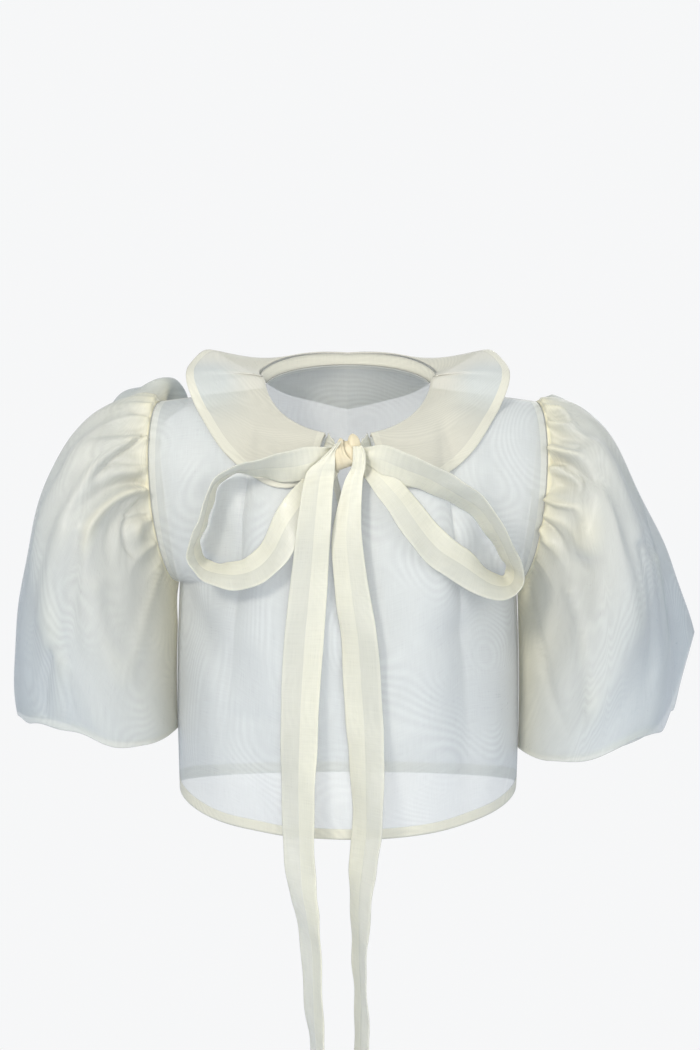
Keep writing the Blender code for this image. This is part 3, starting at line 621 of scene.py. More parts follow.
def panel_normal(across, down, facing):
    """The way out of the cloth at that point."""
    across, down = np.broadcast_arrays(np.asarray(across, float), np.asarray(down, float))
    step = 0.004
    along = panel_point(np.minimum(across + step, 1), down, facing) \
        - panel_point(np.maximum(across - step, 0), down, facing)
    along = np.where((across < step)[..., None], np.array([1.0, 0, 0]), along)
    fall = panel_point(across, np.minimum(down + step, 1), facing) \
        - panel_point(across, np.maximum(down - step, 0), facing)
    normal = np.cross(fall, along) * -facing
    return normal / np.linalg.norm(normal, axis=-1, keepdims=True)


# %% [markdown]
# ## Creases placed one by one
# Organza is crisp: it stands away from the figure in long, soft ridges and troughs. Each is one row of a
# table: where it starts and ends on the cloth, how far it lifts the cloth (or sinks it, below zero) and how
# wide it is. A slow, low ripple over the whole piece keeps the stretches between them from looking machined.

# %% Creases


def creased(flat, rows):
    """How far creases lift the cloth. flat holds two coordinates, and each row has the columns
    (start, start height, end, end height, lift, width)."""
    lift = np.zeros(flat.shape[:-1])
    for a, b, c, d, amount, width in rows:
        start, run = np.array([a, b]), np.array([c - a, d - b])
        along = ((flat - start) @ run) / (run @ run)
        nearest = start + np.clip(along, 0, 1)[..., None] * run
        off = np.linalg.norm(flat - nearest, axis=-1)
        taper = ease(along * 3 + 0.6) * ease((1 - along) * 2 + 0.3)
        lift += amount * np.exp(-(off / width) ** 2) * taper
    return lift


def ripple(flat, size, lift, seed):
    """A slow uneven wave: a few crossing sines of about this size."""
    dice = np.random.default_rng(seed)
    wave = np.zeros(flat.shape[:-1])
    for _ in range(7):
        heading, phase = dice.uniform(0, 2 * np.pi, 2)
        pace = 2 * np.pi / (size * dice.uniform(0.7, 1.6))
        wave += np.sin(pace * (flat[..., 0] * np.cos(heading) + flat[..., 1] * np.sin(heading)) + phase)
    return wave * lift / 3


# Seen from the front of each panel: x and z of both ends, the lift and the width
FRONT_CREASES = [
    (-0.160, -0.215, -0.105, -0.300, -0.0030, 0.014), (-0.150, -0.205, -0.060, -0.270, 0.0026, 0.018),
    (-0.135, -0.260, -0.120, -0.425, 0.0036, 0.020), (-0.095, -0.240, -0.088, -0.430, -0.0026, 0.017),
    (-0.060, -0.330, -0.062, -0.440, 0.0022, 0.015), (0.062, -0.200, 0.085, -0.430, 0.0028, 0.020),
    (0.110, -0.235, 0.118, -0.420, -0.0026, 0.016), (0.150, -0.215, 0.140, -0.415, 0.0030, 0.014),
    (0.160, -0.205, 0.075, -0.250, -0.0020, 0.014), (-0.150, -0.105, -0.095, -0.175, -0.0028, 0.018),
    (-0.120, -0.080, -0.080, -0.205, 0.0026, 0.020), (0.125, -0.085, 0.095, -0.200, 0.0026, 0.018),
    (0.155, -0.120, 0.110, -0.185, -0.0024, 0.015), (-0.120, -0.315, -0.035, -0.322, -0.0008, 0.006),
]
BACK_CREASES = [
    (-0.150, -0.210, -0.095, -0.300, -0.0030, 0.015), (-0.120, -0.240, -0.112, -0.420, 0.0036, 0.020),
    (-0.070, -0.250, -0.075, -0.430, -0.0028, 0.018), (-0.020, -0.220, -0.028, -0.430, 0.0030, 0.022),
    (0.035, -0.240, 0.032, -0.430, -0.0024, 0.018), (0.080, -0.230, 0.088, -0.425, 0.0034, 0.020),
    (0.130, -0.215, 0.125, -0.415, -0.0028, 0.015), (-0.130, -0.075, -0.080, -0.200, 0.0026, 0.020),
    (0.125, -0.075, 0.085, -0.195, 0.0028, 0.020), (0.155, -0.120, 0.110, -0.180, -0.0024, 0.015),
    (-0.155, -0.115, -0.105, -0.175, -0.0026, 0.015), (-0.040, -0.060, 0.045, -0.075, 0.0016, 0.014),
]

# %% [markdown]
# ## Front and back
# A half panel is mirrored and the halves are welded down the centre line. The front stays open along its
# keyhole slit. Grid lines lie close together at the edge of each doubled strip, so that hem, slit facing and
# seam allowances end crisply. The hem is 12 mm, as in the photograph at the scale assumed above, and the
# seams are 8 to 10 mm.

# %% Panels
HEM_BAND = 0.012
SEAM_STRIP = 0.034      # width of the seam allowance, as a share of a half panel
SHOULDER_STRIP = 0.021  # and down from the shoulder seam
SLIT_FACING = 0.024
SLIT_FACING_END = 0.30  # down, where the facing stops below the slit
EDGE = 0.002            # over which a doubled strip begins
SEAM_LAYERS, HEM_LAYERS, FACING_LAYERS = 1.4, 2.4, 2.0
PANEL_WAVE, PANEL_WAVE_LIFT = 0.11, 0.0011
CALM_EDGE = 0.03        # metres from a seam over which the creases begin
ON_CENTRE = 0.0012      # points this near to the centre line belong on it
WELD = 2e-5


def panel_grid(facing, side):
    """One half of a panel: its points before creasing, and its layers."""
    band = (1 - ARM_SHARE) * HEM_BAND / (UNDERARM[2] - HEM_SIDE_Z)
    across = stepped((SLIT_FACING, 4), (SLIT_FACING + EDGE, 1), (NECK_SHARE, 32), (1 - SEAM_STRIP - EDGE, 42),
                     (1 - SEAM_STRIP, 1), (1.0, 5))
    down = stepped((SHOULDER_STRIP, 4), (SHOULDER_STRIP + EDGE, 1), (0.25, 24), (ARM_SHARE, 26),
                   (1 - band - EDGE, 46), (1 - band, 1), (1.0, 5))
    places, levels = np.meshgrid(across, down)
    half_width = SLIT.at(levels).half_width * (facing == FRONT)
    shift = half_width / (0.5 * np.pi * HEM_HALF_WIDTH)
    points = panel_point(shift + places * (1 - shift), levels, facing)
    points[:, 0, 0] = half_width[:, 0]
    layers = np.ones_like(places)
    layers[(places >= 1 - SEAM_STRIP) | (levels <= SHOULDER_STRIP)] = SEAM_LAYERS
    layers[levels >= 1 - band] = HEM_LAYERS
    if facing == FRONT:
        layers[(places <= SLIT_FACING) & (levels < SLIT_FACING_END)] = FACING_LAYERS
    points[..., 0] *= side
    return points, layers


def panel_grids(facing, creases, seed):
    """Both halves of a panel with their creases. Its seams and its top edge stay where they are."""
    grids = []
    for side in (1.0, -1.0):
        points, layers = panel_grid(facing, side)
        seen = points[..., [0, 2]]
        lift = creased(seen, creases) + ripple(seen, PANEL_WAVE, PANEL_WAVE_LIFT, seed)
        from_side = np.linalg.norm(points - points[:, -1:], axis=-1)
        from_top = np.linalg.norm(points - points[:1], axis=-1)
        lift *= ease(from_side / CALM_EDGE) * ease(from_top / CALM_EDGE)
        normal = grid_normals(points, flip=side * facing > 0)
        points = points + normal * lift[..., None]
        on_centre = np.abs(points[:, 0, 0]) < ON_CENTRE
        points[:, 0, 0] = np.where(on_centre, 0.0, points[:, 0, 0])
        chest = points[len(points) // 2]
        run = np.cumsum(np.r_[0, np.linalg.norm(np.diff(chest, axis=0), axis=1)])
        u = np.broadcast_to(run * side, points.shape[:2])
        v = flat_lengths(points)[..., 1] + points[:1, :, 2]
        grids.append((points, layers, np.stack([u, v], -1)))
    return grids


def panel_mesh(name, facing, grids):
    meshes = []
    for side, grid in zip((1.0, -1.0), grids):
        meshes.append(cloth_mesh(name, [grid], flip=side * facing > 0))
    work = bmesh.new()
    for mesh in meshes:
        work.from_mesh(mesh)
        bpy.data.meshes.remove(mesh)
    bmesh.ops.remove_doubles(work, verts=work.verts, dist=WELD)
    whole = bpy.data.meshes.new(name)
    work.to_mesh(whole)
    work.free()
    whole.shade_smooth()
    return whole


def surface_of(*meshes):
    """One searchable surface from the middles of several pieces."""
    points, faces = [], []
    for mesh in meshes:
        first = len(points)
        points += [tuple(v.co) for v in mesh.vertices]
        faces += [[first + k for k in polygon.vertices] for polygon in mesh.polygons]
    return BVHTree.FromPolygons(points, faces)


front_mesh = panel_mesh("front_cloth", FRONT, panel_grids(FRONT, FRONT_CREASES, 3))
back_mesh = panel_mesh("back_cloth", BACK, panel_grids(BACK, BACK_CREASES, 5))
body_surface = surface_of(front_mesh, back_mesh)
front_middle = front_mesh.copy()
front_piece = cloth_piece(front_mesh, CLOTHS["organza_body"], "front")
back_piece = cloth_piece(back_mesh, CLOTHS["organza_body"], "back")

# %% [markdown]
# ## Collar and neckband
# The flat round collar is cut double and turned, so it holds two layers, and more where its own seam
# allowance lies inside the edge. It rolls over from the neck seam towards the shoulders. Its outer edge is a
# table of places in metres, and the cloth between is a curve that starts upwards from the seam and is kept a
# few millimetres off the body.

# %% Collar
COLLAR = Table(
    "place seam stand x y z",
    (0.00, 0.080, 0.003, 0.030, -0.100, -0.080),
    (0.06, 0.110, 0.003, 0.040, -0.109, -0.094),
    (0.13, 0.150, 0.003, 0.058, -0.112, -0.100),
    (0.24, 0.240, 0.004, 0.088, -0.096, -0.093),
    (0.34, 0.340, 0.005, 0.117, -0.070, -0.071),
    (0.42, 0.420, 0.006, 0.142, -0.042, -0.040),
    (0.50, 0.500, 0.008, 0.158, -0.020, -0.006),
    (0.58, 0.440, 0.009, 0.156, 0.012, 0.013),
    (0.67, 0.360, 0.011, 0.139, 0.045, 0.021),
    (0.78, 0.250, 0.013, 0.105, 0.078, 0.002),
    (0.89, 0.120, 0.014, 0.060, 0.098, -0.028),
    (1.00, 0.000, 0.014, 0.000, 0.104, -0.040))
COLLAR_ROLL = 0.016
COLLAR_LIFT = 0.0036
COLLAR_BAND = 0.0095    # seam allowance inside the collar's edge
BAND_FOOT = 0.0013
BAND_HEAD = 0.0012
COLLAR_FALL = 1.06      # how much longer the cloth is than the straight way from seam to edge
COLLAR_STEP = 0.0006    # metres over which the edge's seam allowance begins
COLLAR_SLACK = 0.0008   # by how much less than COLLAR_LIFT it may stay off the body
COLLAR_END_STRIP = (0.052, 0.056)       # places between which the seam allowance at its front end stops
COLLAR_WAVES = ((0.0011, 29, 0.7), (0.0006, 47, 2.1))       # along its edge: lift, pace and start
# painted shade on the collar over the shoulder, where its underside is in the shade: how strong, where and how
# wide
COLLAR_PAINTED_SHADE, COLLAR_PAINTED_SHADE_PLACE, COLLAR_PAINTED_SHADE_SPREAD = 1.2, 0.50, 0.09        # bluish over the shoulder
COLLAR_LAYERS, COLLAR_EDGE_LAYERS, COLLAR_END_LAYERS = 2.0, 3.0, 2.4
NECKBAND_LAYERS = 2.6


def seam_point(place, height):
    """A point above the neck seam at this place of the collar."""
    seam = COLLAR.at(place).seam
    share = (0.5 * (1 - ease(np.abs(place - 0.5) / 0.2)))[..., None]
    ahead = (place <= 0.5)[..., None]
    normals = {facing: panel_normal(seam, 0.0, facing) for facing in (FRONT, BACK)}
    own = np.where(ahead, normals[FRONT], normals[BACK])
    other = np.where(ahead, normals[BACK], normals[FRONT])
    normal = own * (1 - share) + other * share
    normal /= np.linalg.norm(normal, axis=-1, keepdims=True)
    foot = np.where(ahead, panel_point(seam, 0.0, FRONT), panel_point(seam, 0.0, BACK))
    return foot + normal * np.asarray(height)[..., None]


def lifted(points, surface, least):
    """The points, moved out from the nearest cloth where they are nearer than this."""
    shape = points.shape
    moved = points.reshape(-1, 3).copy()
    for k, point in enumerate(moved):
        spot, normal, _, _ = surface.find_nearest(Vector(point))
        clear = (Vector(point) - spot).dot(normal)
        if clear < least:
            moved[k] = Vector(point) + normal * (least - clear)
    return moved.reshape(shape)


def mirrored_halves(half):
    """A whole piece from its right half, whose last column lies on the centre line."""
    other = half[:, -2::-1].copy()
    half = half.copy()
    half[..., 0] *= -1
    return np.concatenate([half, other], 1)


def collar_half():
    place = stepped((COLLAR_END_STRIP[0], 5), (COLLAR_END_STRIP[1], 1), (0.5, 58), (1.0, 52))
    row = COLLAR.at(place)
    foot = seam_point(place, np.zeros_like(place))
    roll = seam_point(place, row.stand + COLLAR_LIFT)
    edge = xyz(row.x, row.y, row.z)
    rise = (roll - foot) / np.linalg.norm(roll - foot, axis=-1, keepdims=True) * COLLAR_ROLL
    width = np.linalg.norm(edge - roll, axis=-1) * COLLAR_FALL
    inner = 1 - COLLAR_BAND / width
    out = np.stack([s * inner for s in np.linspace(0, 1, 25)] + [inner + COLLAR_STEP / width]
                   + [inner + (1 - inner) * k / 5 for k in range(1, 6)])
    u = out[..., None]
    points = hermite(roll[None], ((edge - roll) * 0.8 + rise)[None], edge[None],
                     ((edge - roll) * 0.9 - rise)[None], u)
    wave = sum(lift * np.sin(place * pace + start) for lift, pace, start in COLLAR_WAVES)
    points[..., 2] += out ** 2 * wave * ease(place / 0.2)
    layers = np.where(out > inner + 1e-6, COLLAR_EDGE_LAYERS, COLLAR_LAYERS)
    layers[:, place < np.mean(COLLAR_END_STRIP)] = COLLAR_END_LAYERS
    # painted shade, darker and bluish, over the shoulder where the collar's underside is shaded
    near_shoulder = np.exp(-((place - COLLAR_PAINTED_SHADE_PLACE) / COLLAR_PAINTED_SHADE_SPREAD) ** 2)
    painted_shade = COLLAR_PAINTED_SHADE * near_shoulder * ease((out - 0.15) / 0.5) * (out <= inner)
    return points, layers, painted_shade


def collar():
    half, layers, painted_shade = collar_half()
    points = lifted(mirrored_halves(half), body_surface, COLLAR_LIFT - COLLAR_SLACK)
    layers, painted_shade = (np.concatenate([values, values[:, -2::-1]], 1) for values in (layers, painted_shade))
    return cloth_mesh("collar_cloth", [(points, layers, flat_lengths(points), painted_shade)])


def neckband():
    place = np.linspace(0, 1, 70)
    stand = COLLAR.at(place).stand + BAND_HEAD
    rows = [seam_point(place, BAND_FOOT + (stand - BAND_FOOT) * k / 3) for k in range(4)]
    points = mirrored_halves(np.stack(rows))
    layers = np.full(points.shape[:2], NECKBAND_LAYERS)
    return cloth_mesh("neckband_cloth", [(points, layers, flat_lengths(points))])


collar_mesh = collar()
collar_middle = collar_mesh.copy()
collar_piece = cloth_piece(collar_mesh, CLOTHS["organza_collar"], "collar", DOUBLED_SHELL)
neckband_piece = cloth_piece(neckband(), CLOTHS["organza_collar"], "neckband")

# %% [markdown]
# ## Puff sleeves
# Each sleeve is a wide tube gathered into the armhole. The gathering pins the cloth at a few stitches and
# lets it puff out between them, so deep folds run out of the seam like the ribs of a fan. The tube is a curve
# for every angle round the armhole, from the seam out and down to the hem. The folds at the seam are rows of
# a table in the tube's own coordinates: degrees round the armhole, and metres from the seam. The ridges,
# troughs and lumps in front are placed as they are seen from there.

# %% Sleeve forms
SLEEVE_COLUMNS = "angle leave_out leave_front leave_up hem_out hem_front hem_up fall_out fall_front fall_down"
SLEEVE_RIGHT = Table(
    SLEEVE_COLUMNS,
    (0, 0.33, 0.02, 0.14, 0.334, 0.000, -0.336, -0.03, 0.00, 0.26),
    (50, 0.31, 0.19, 0.05, 0.306, 0.073, -0.327, -0.02, -0.03, 0.24),
    (90, 0.24, 0.22, -0.02, 0.254, 0.096, -0.352, 0.00, -0.04, 0.22),
    (135, 0.12, 0.10, -0.08, 0.197, 0.068, -0.358, 0.01, -0.03, 0.17),
    (180, 0.03, 0.00, -0.14, 0.176, 0.000, -0.358, 0.00, 0.00, 0.14),
    (225, 0.12, -0.12, -0.08, 0.198, -0.070, -0.382, 0.01, 0.03, 0.18),
    (270, 0.22, -0.26, 0.02, 0.256, -0.098, -0.397, 0.00, 0.04, 0.25),
    (325, 0.16, -0.15, 0.38, 0.312, -0.066, -0.362, -0.02, 0.03, 0.25),
    (360, 0.33, 0.02, 0.14, 0.334, 0.000, -0.336, -0.03, 0.00, 0.26))
SLEEVE_LEFT = Table(
    SLEEVE_COLUMNS,
    (0, 0.27, 0.02, 0.10, 0.327, 0.004, -0.340, -0.03, 0.00, 0.24),
    (50, 0.27, 0.18, 0.03, 0.296, 0.070, -0.355, -0.02, -0.03, 0.24),
    (90, 0.24, 0.22, -0.02, 0.246, 0.092, -0.367, 0.00, -0.04, 0.22),
    (135, 0.12, 0.10, -0.08, 0.199, 0.066, -0.376, 0.01, -0.03, 0.17),
    (180, 0.01, 0.00, -0.14, 0.179, 0.000, -0.378, 0.00, 0.00, 0.14),
    (225, 0.12, -0.12, -0.08, 0.205, -0.072, -0.400, 0.01, 0.03, 0.18),
    (270, 0.22, -0.26, 0.02, 0.276, -0.100, -0.408, 0.00, 0.03, 0.25),
    (300, 0.19, -0.20, 0.09, 0.334, -0.086, -0.372, 0.03, 0.03, 0.23),
    (325, 0.16, -0.14, 0.16, 0.360, -0.060, -0.271, 0.06, 0.02, 0.22),
    (360, 0.27, 0.02, 0.10, 0.327, 0.004, -0.340, -0.03, 0.00, 0.24))
# Where the hem rises or dips in a soft wave: angle, how wide in degrees and how far
HEM_WAVES_RIGHT = ((20, 16, -0.007), (44, 14, -0.009), (88, 17, 0.0115), (232, 24, -0.006), (342, 20, -0.008))
HEM_WAVES_LEFT = ((64, 26, 0.012), (125, 16, 0.002), (236, 26, -0.008))
# The broad hollows: angle, how much less the cloth stands out there, and how wide
HOLLOWS_RIGHT = ((22, 0.10, 9), (52, 0.12, 9), (80, 0.18, 11), (112, 0.18, 12),
                 (205, 0.16, 12), (246, 0.22, 12), (285, 0.18, 9), (304, 0.14, 8), (346, 0.42, 13))
HOLLOWS_LEFT = ((26, 0.10, 9), (58, 0.12, 9), (90, 0.16, 11), (118, 0.20, 12),
                (210, 0.18, 12), (250, 0.22, 10), (290, 0.24, 11), (345, 0.20, 9))
# The pinches at the gathering stitches: angle at the seam and at the fold's end, its length, its depth, its
# width in degrees, and how far the cloth puffs out between this stitch and the next
PINCHES_RIGHT = ((8, 4, 0.050, 0.0034, 3.4, 0.0034), (21, 14, 0.040, 0.0040, 3.2, 0.0040),
                 (35, 32, 0.028, 0.0050, 2.6, 0.0050), (51, 49, 0.030, 0.0050, 2.6, 0.0046),
                 (70, 68, 0.030, 0.0050, 2.6, 0.0044), (85, 84, 0.034, 0.0056, 2.8, 0.0044),
                 (103, 102, 0.026, 0.0044, 3.0, 0.0030), (119, 118, 0.040, 0.0034, 3.4, 0.0020),
                 (134, 134, 0.035, 0.0022, 4.0, 0.0012), (228, 232, 0.060, 0.0036, 4.4, 0.0024),
                 (244, 249, 0.100, 0.0064, 3.6, 0.0044), (262, 270, 0.060, 0.0060, 3.0, 0.0050),
                 (279, 288, 0.110, 0.0070, 3.8, 0.0044), (296, 304, 0.050, 0.0056, 3.0, 0.0050),
                 (314, 320, 0.095, 0.0070, 3.8, 0.0054), (331, 334, 0.045, 0.0060, 3.0, 0.0050),
                 (348, 349, 0.080, 0.0060, 4.0, 0.0036))
PINCHES_LEFT = ((10, 6, 0.050, 0.0036, 3.4, 0.0034), (26, 22, 0.035, 0.0044, 2.8, 0.0046),
                (40, 38, 0.026, 0.0048, 2.4, 0.0050), (57, 55, 0.030, 0.0050, 2.6, 0.0046),
                (73, 71, 0.026, 0.0050, 2.4, 0.0056), (88, 87, 0.028, 0.0054, 2.6, 0.0040),
                (100, 100, 0.034, 0.0050, 3.0, 0.0030), (115, 116, 0.040, 0.0036, 3.6, 0.0022),
                (131, 133, 0.040, 0.0024, 4.0, 0.0012), (230, 229, 0.060, 0.0036, 4.4, 0.0024),
                (247, 250, 0.095, 0.0064, 3.6, 0.0044), (264, 269, 0.055, 0.0060, 3.0, 0.0048),
                (281, 288, 0.105, 0.0070, 3.8, 0.0046), (297, 303, 0.050, 0.0056, 3.0, 0.0050),
                (313, 320, 0.090, 0.0066, 3.8, 0.0048), (330, 336, 0.045, 0.0056, 3.0, 0.0044),
                (346, 349, 0.060, 0.0046, 3.6, 0.0032))
# Ridges and troughs on the front of each sleeve, in millimetres: lift (below zero for a trough), half width
# at the seam's end and at the far end, and the line's points as (out from the centre plane, height)
LINES_RIGHT = (
    (2.2, 2.0, 3.0, (195, -40), (204, -35), (217, -31)),
    (2.4, 2.6, 5.5, (198, -56), (212, -54), (226, -52), (240, -53), (254, -57), (268, -68)),
    (3.6, 1.9, 2.6, (199, -57), (208, -64), (219, -70), (230, -78), (239, -87), (245, -98)),
    (-2.6, 2.4, 5.0, (211, -61), (225, -69), (237, -78), (247, -90), (254, -106)),
    (2.6, 2.0, 4.0, (197, -84), (208, -82), (219, -79), (229, -81), (237, -90), (241, -102)),
    (-3.0, 4.0, 6.0, (204, -91), (216, -90), (226, -94)),
    (5.6, 4.0, 12.0,
     (194, -104), (205, -101), (217, -100), (231, -106), (246, -116), (260, -126), (272, -134)),
    (-8.0, 3.2, 8.0,
     (200, -107), (213, -109), (225, -115), (236, -125), (244, -138), (249, -156), (251, -176)),
    (2.2, 1.6, 1.8, (199, -118), (208, -127), (214, -135)),
    (1.9, 3.0, 6.0, (204, -111), (218, -126), (226, -143), (228, -163), (226, -190)),
    (2.8, 1.8, 2.6,
     (194, -134), (203, -134), (211, -137), (214, -147), (212, -160), (206, -171), (199, -180)),
    (-2.2, 4.0, 9.0, (186, -190), (198, -226), (206, -262), (214, -300)),
    (2.6, 7.0, 12.0, (256, -150), (264, -196), (262, -242), (248, -284), (234, -318)),
    (-2.6, 9.0, 12.0, (240, -196), (236, -236), (224, -276), (216, -320)),
    (2.4, 4.0, 6.0, (284, -262), (292, -298), (293, -330)),
    (-2.0, 6.0, 9.0, (272, -268), (276, -306), (272, -344)),
)
LINES_LEFT = (
    (-4.8, 1.8, 2.6, (178, -33), (193, -32), (210, -34), (225, -43)),
    (-4.4, 1.6, 2.4, (184, -44), (195, -46), (206, -46), (218, -43), (228, -42)),
    (3.6, 2.0, 4.0, (186, -67), (196, -62), (207, -65), (218, -66), (228, -60)),
    (-6.0, 2.0, 4.5, (188, -69), (203, -71), (216, -73), (230, -76)),
    (7.0, 3.2, 9.0, (182, -89), (189, -83), (200, -80), (214, -84), (226, -92), (238, -98), (248, -102)),
    (-4.8, 1.6, 2.0, (181, -92), (191, -88), (201, -86), (209, -87)),
    (3.8, 1.8, 2.6, (207, -86), (216, -91), (222, -99), (222, -108)),
    (-6.6, 1.8, 3.4, (178, -114), (192, -117), (206, -121), (224, -123)),
    (-7.0, 1.8, 4.0, (178, -131), (185, -138), (192, -149), (198, -166)),
    (3.2, 1.8, 3.6, (180, -129), (192, -140), (204, -153), (212, -172)),
    (2.2, 8.0, 15.0, (246, -84), (262, -107), (270, -130), (270, -160), (264, -200)),
    (1.8, 3.0, 5.0, (176, -196), (183, -232), (192, -272), (202, -316), (216, -352)),
    (-2.4, 7.0, 10.0, (214, -206), (226, -256), (232, -306), (238, -350)),
    (3.4, 6.0, 8.0, (284, -160), (293, -212), (297, -262), (290, -310)),
    (-4.2, 7.0, 11.0, (300, -178), (311, -214), (316, -252), (310, -296)),
)
# Lumps: out from the centre plane, height, half width, half height and lift, in millimetres
LUMPS_RIGHT = (
    (222, -45, 24, 8, 4.6), (208, -70, 8, 6, 1.6), (236, -95, 8, 10, 2.0), (203, -148, 6, 13, -4.2),
    (276, -96, 18, 22, 2.5), (244, -214, 30, 40, 2.0), (200, -236, 12, 30, 2.0), (282, -240, 16, 34, -2.5))
LUMPS_LEFT = (
    (202, -38, 20, 4, 3.6), (212, -54, 30, 8, 6.0), (201, -101, 18, 13, 7.0), (196, -125, 14, 7, -2.4),
    (230, -149, 12, 20, -5.6), (222, -176, 12, 12, 3.2), (214, -238, 22, 40, 2.6), (262, -258, 22, 40, 2.4))
# Behind the shoulder the gathered cloth stands up in a crumpled lobe that leans in over the seam: angle and
# distance from the seam, how wide in degrees and metres, and how far the cloth moves out, back and up there
LOBES_RIGHT = ((322, 0.028, 15, 0.020, -0.032, 0.006, 0.009), (326, 0.092, 20, 0.028, 0.004, 0.000, -0.012),
               (329, 0.047, 9, 0.009, 0.000, 0.000, -0.0045), (327, 0.031, 8, 0.008, -0.003, 0.000, 0.0045),
               (317, 0.020, 7, 0.010, -0.010, 0.004, -0.006), (310, 0.045, 6, 0.012, 0.000, -0.006, -0.004),
               (314, 0.075, 7, 0.014, 0.000, 0.006, 0.004))
LOBES_LEFT = ((322, 0.028, 15, 0.020, -0.010, 0.004, 0.001), (327, 0.050, 9, 0.010, 0.000, 0.000, -0.003),
              (334, 0.030, 9, 0.010, -0.002, 0.000, 0.003), (312, 0.060, 7, 0.014, 0.000, 0.005, 0.003))
UNDERARM_STRIP = 7.0    # half the width of its seam's allowance, in degrees
UNDERARM_REACH = 30.0   # how far round the cloth is bunched under the arm, in degrees
PLEAT_DEPTH = 0.0006    # of the fine pleats right at the seam
FOLD_STRENGTH = 1.3
BODY_CLEARANCE = 0.0009     # between the sleeve's inner side and the side of the body
# partly bunched cloth, partly painted shade: the troughs of the folds count as denser cloth, so they look
# yellower and denser, as shaded valleys do
VALLEY_LAYERS_AND_SHADE = 0.45    # how much denser the cloth is where it is drawn in
# painted shade: over these metres from the seam the free veil is made darker and bluish, as it hangs in shade
PAINTED_SHADE_FROM, PAINTED_SHADE_TO = 0.05, 0.30     # metres from the seam over which the cloth opens to a cool veil
PLEATS = 71
FULLNESS = 1.08         # how much wider the tube stands than its table, between the hollows
OFF_SEAM = 0.0010       # the sleeve's first row lies this far out from the armhole
SLEEVE_WAVE, SLEEVE_WAVE_LIFT = 0.10, 0.0016
SLEEVE_RADIUS = 0.10    # of the tube, for the waves that go round it
SEAM_DEPTH = 0.0016     # metres from the seam that count as the seam itself
SEAM_CLOTH, GATHERED_CLOTH, UNDERARM_CLOTH, UNDERARM_SEAM, ROLLED_HEM = 3.0, 1.0, 1.3, 0.6, 0.5     # layers
LOBE_MIDDLE, LOBE_SPREAD = 315, 22      # degrees: the lobe behind the shoulder is in the shade, so bluish

# %% Sleeves


def armhole(angle):
    """The armhole at this angle: 0 at the shoulder tip, 90 in front, 180 under the arm, 270 behind."""
    front = side_edge(ARM_SHARE * np.clip(angle, 0, 180) / 180, FRONT)
    back = side_edge(ARM_SHARE * np.clip(360 - angle, 0, 180) / 180, BACK)
    return np.where((angle <= 180)[..., None], front, back)


def turned_off(angle, middle):
    """Degrees from this angle to the other, the short way round."""
    return (angle - middle + 180) % 360 - 180


def fullness(angle, hollows):
    full = FULLNESS
    for middle, pinch, spread in hollows:
        full = full - pinch * np.exp(-(turned_off(angle, middle) / spread) ** 2)
    return full


def gathered(angle, metres, folds, seed):
    """How far the gathers lift the sleeve's cloth at this angle and distance from the seam."""
    lift = np.zeros_like(angle)
    for k, (start, end, length, depth, width, puff) in enumerate(folds):
        u = metres / length
        drift = (end - start) * np.clip(u, 0, 1.3)
        off = np.abs(turned_off(angle, start + drift))
        spread = width * (0.5 + 1.6 * np.clip(u, 0, 1.4))
        strength = ease(u * 8 + 0.15) * (1 - ease((u - 0.2) / 0.95))
        valley = 0.55 * np.exp(-off / spread) + 0.45 * np.exp(-(off / (1.7 * spread)) ** 2)
        lift -= depth * strength * valley
        room = (folds[(k + 1) % len(folds)][0] - start) % 360
        if room < 30:
            off = turned_off(angle, start + room / 2 + drift)
            dome = np.cos(np.clip(off / (0.58 * room), -1, 1) * np.pi / 2)
            lift += puff * dome * ease(metres / 0.013) * (1 - ease((metres - 0.018) / 0.05))
    dice = np.random.default_rng(seed)
    phase = dice.uniform(0, 2 * np.pi, 3)
    uneven = 0.6 * np.sin(np.radians(angle * 5) + phase[0]) + 0.5 * np.sin(np.radians(angle * 9) + phase[1])
    pleats = np.sin(np.radians(angle) * PLEATS + uneven * 5 + phase[2]) * (0.7 + 0.5 * uneven)
    lift += PLEAT_DEPTH * pleats * np.exp(-metres / 0.011) * ease(metres / 0.002)
    return lift


def placed(flat, lines, lumps):
    """How far ridges, troughs and lumps lift the cloth at places given, as their rows are, in millimetres."""
    lift = np.zeros(flat.shape[:-1])
    for amount, near, far, *path in lines:
        line = Table("place out up", *[(k, *point) for k, point in enumerate(path)])
        row = line.at(np.linspace(0, len(path) - 1, 6 * len(path)))
        dots = np.stack([row.out, row.up], -1)
        gaps = np.linalg.norm(flat[..., None, :] - dots, axis=-1)
        along = gaps.argmin(-1) / (len(dots) - 1)
        width = near + (far - near) * along
        lift += amount * np.exp(-(gaps.min(-1) / width) ** 2) * ease((1 - along) * 2.2 + 0.12)
    for out, up, half_width, half_height, amount in lumps:
        beside, above = (flat[..., 0] - out) / half_width, (flat[..., 1] - up) / half_height
        lift += amount * np.exp(-beside ** 2 - above ** 2)
    return lift


def against_body(points, angles, metres):
    """The sleeve with its inner side brought in, until it hangs just clear of the body's side."""
    side = side_edge(np.linspace(ARM_SHARE, 1, 40), FRONT)
    inner = points[:, np.abs(angles[0] - 180).argmin()]
    gap = inner[:, 0] - np.interp(-inner[:, 2], -side[:, 2], side[:, 0]) - BODY_CLEARANCE
    share = np.exp(-((angles - 180) / 40) ** 2) * ease(metres / 0.05)
    moved = points.copy()
    moved[..., 0] -= np.maximum(gap, 0)[:, None] * share
    return moved


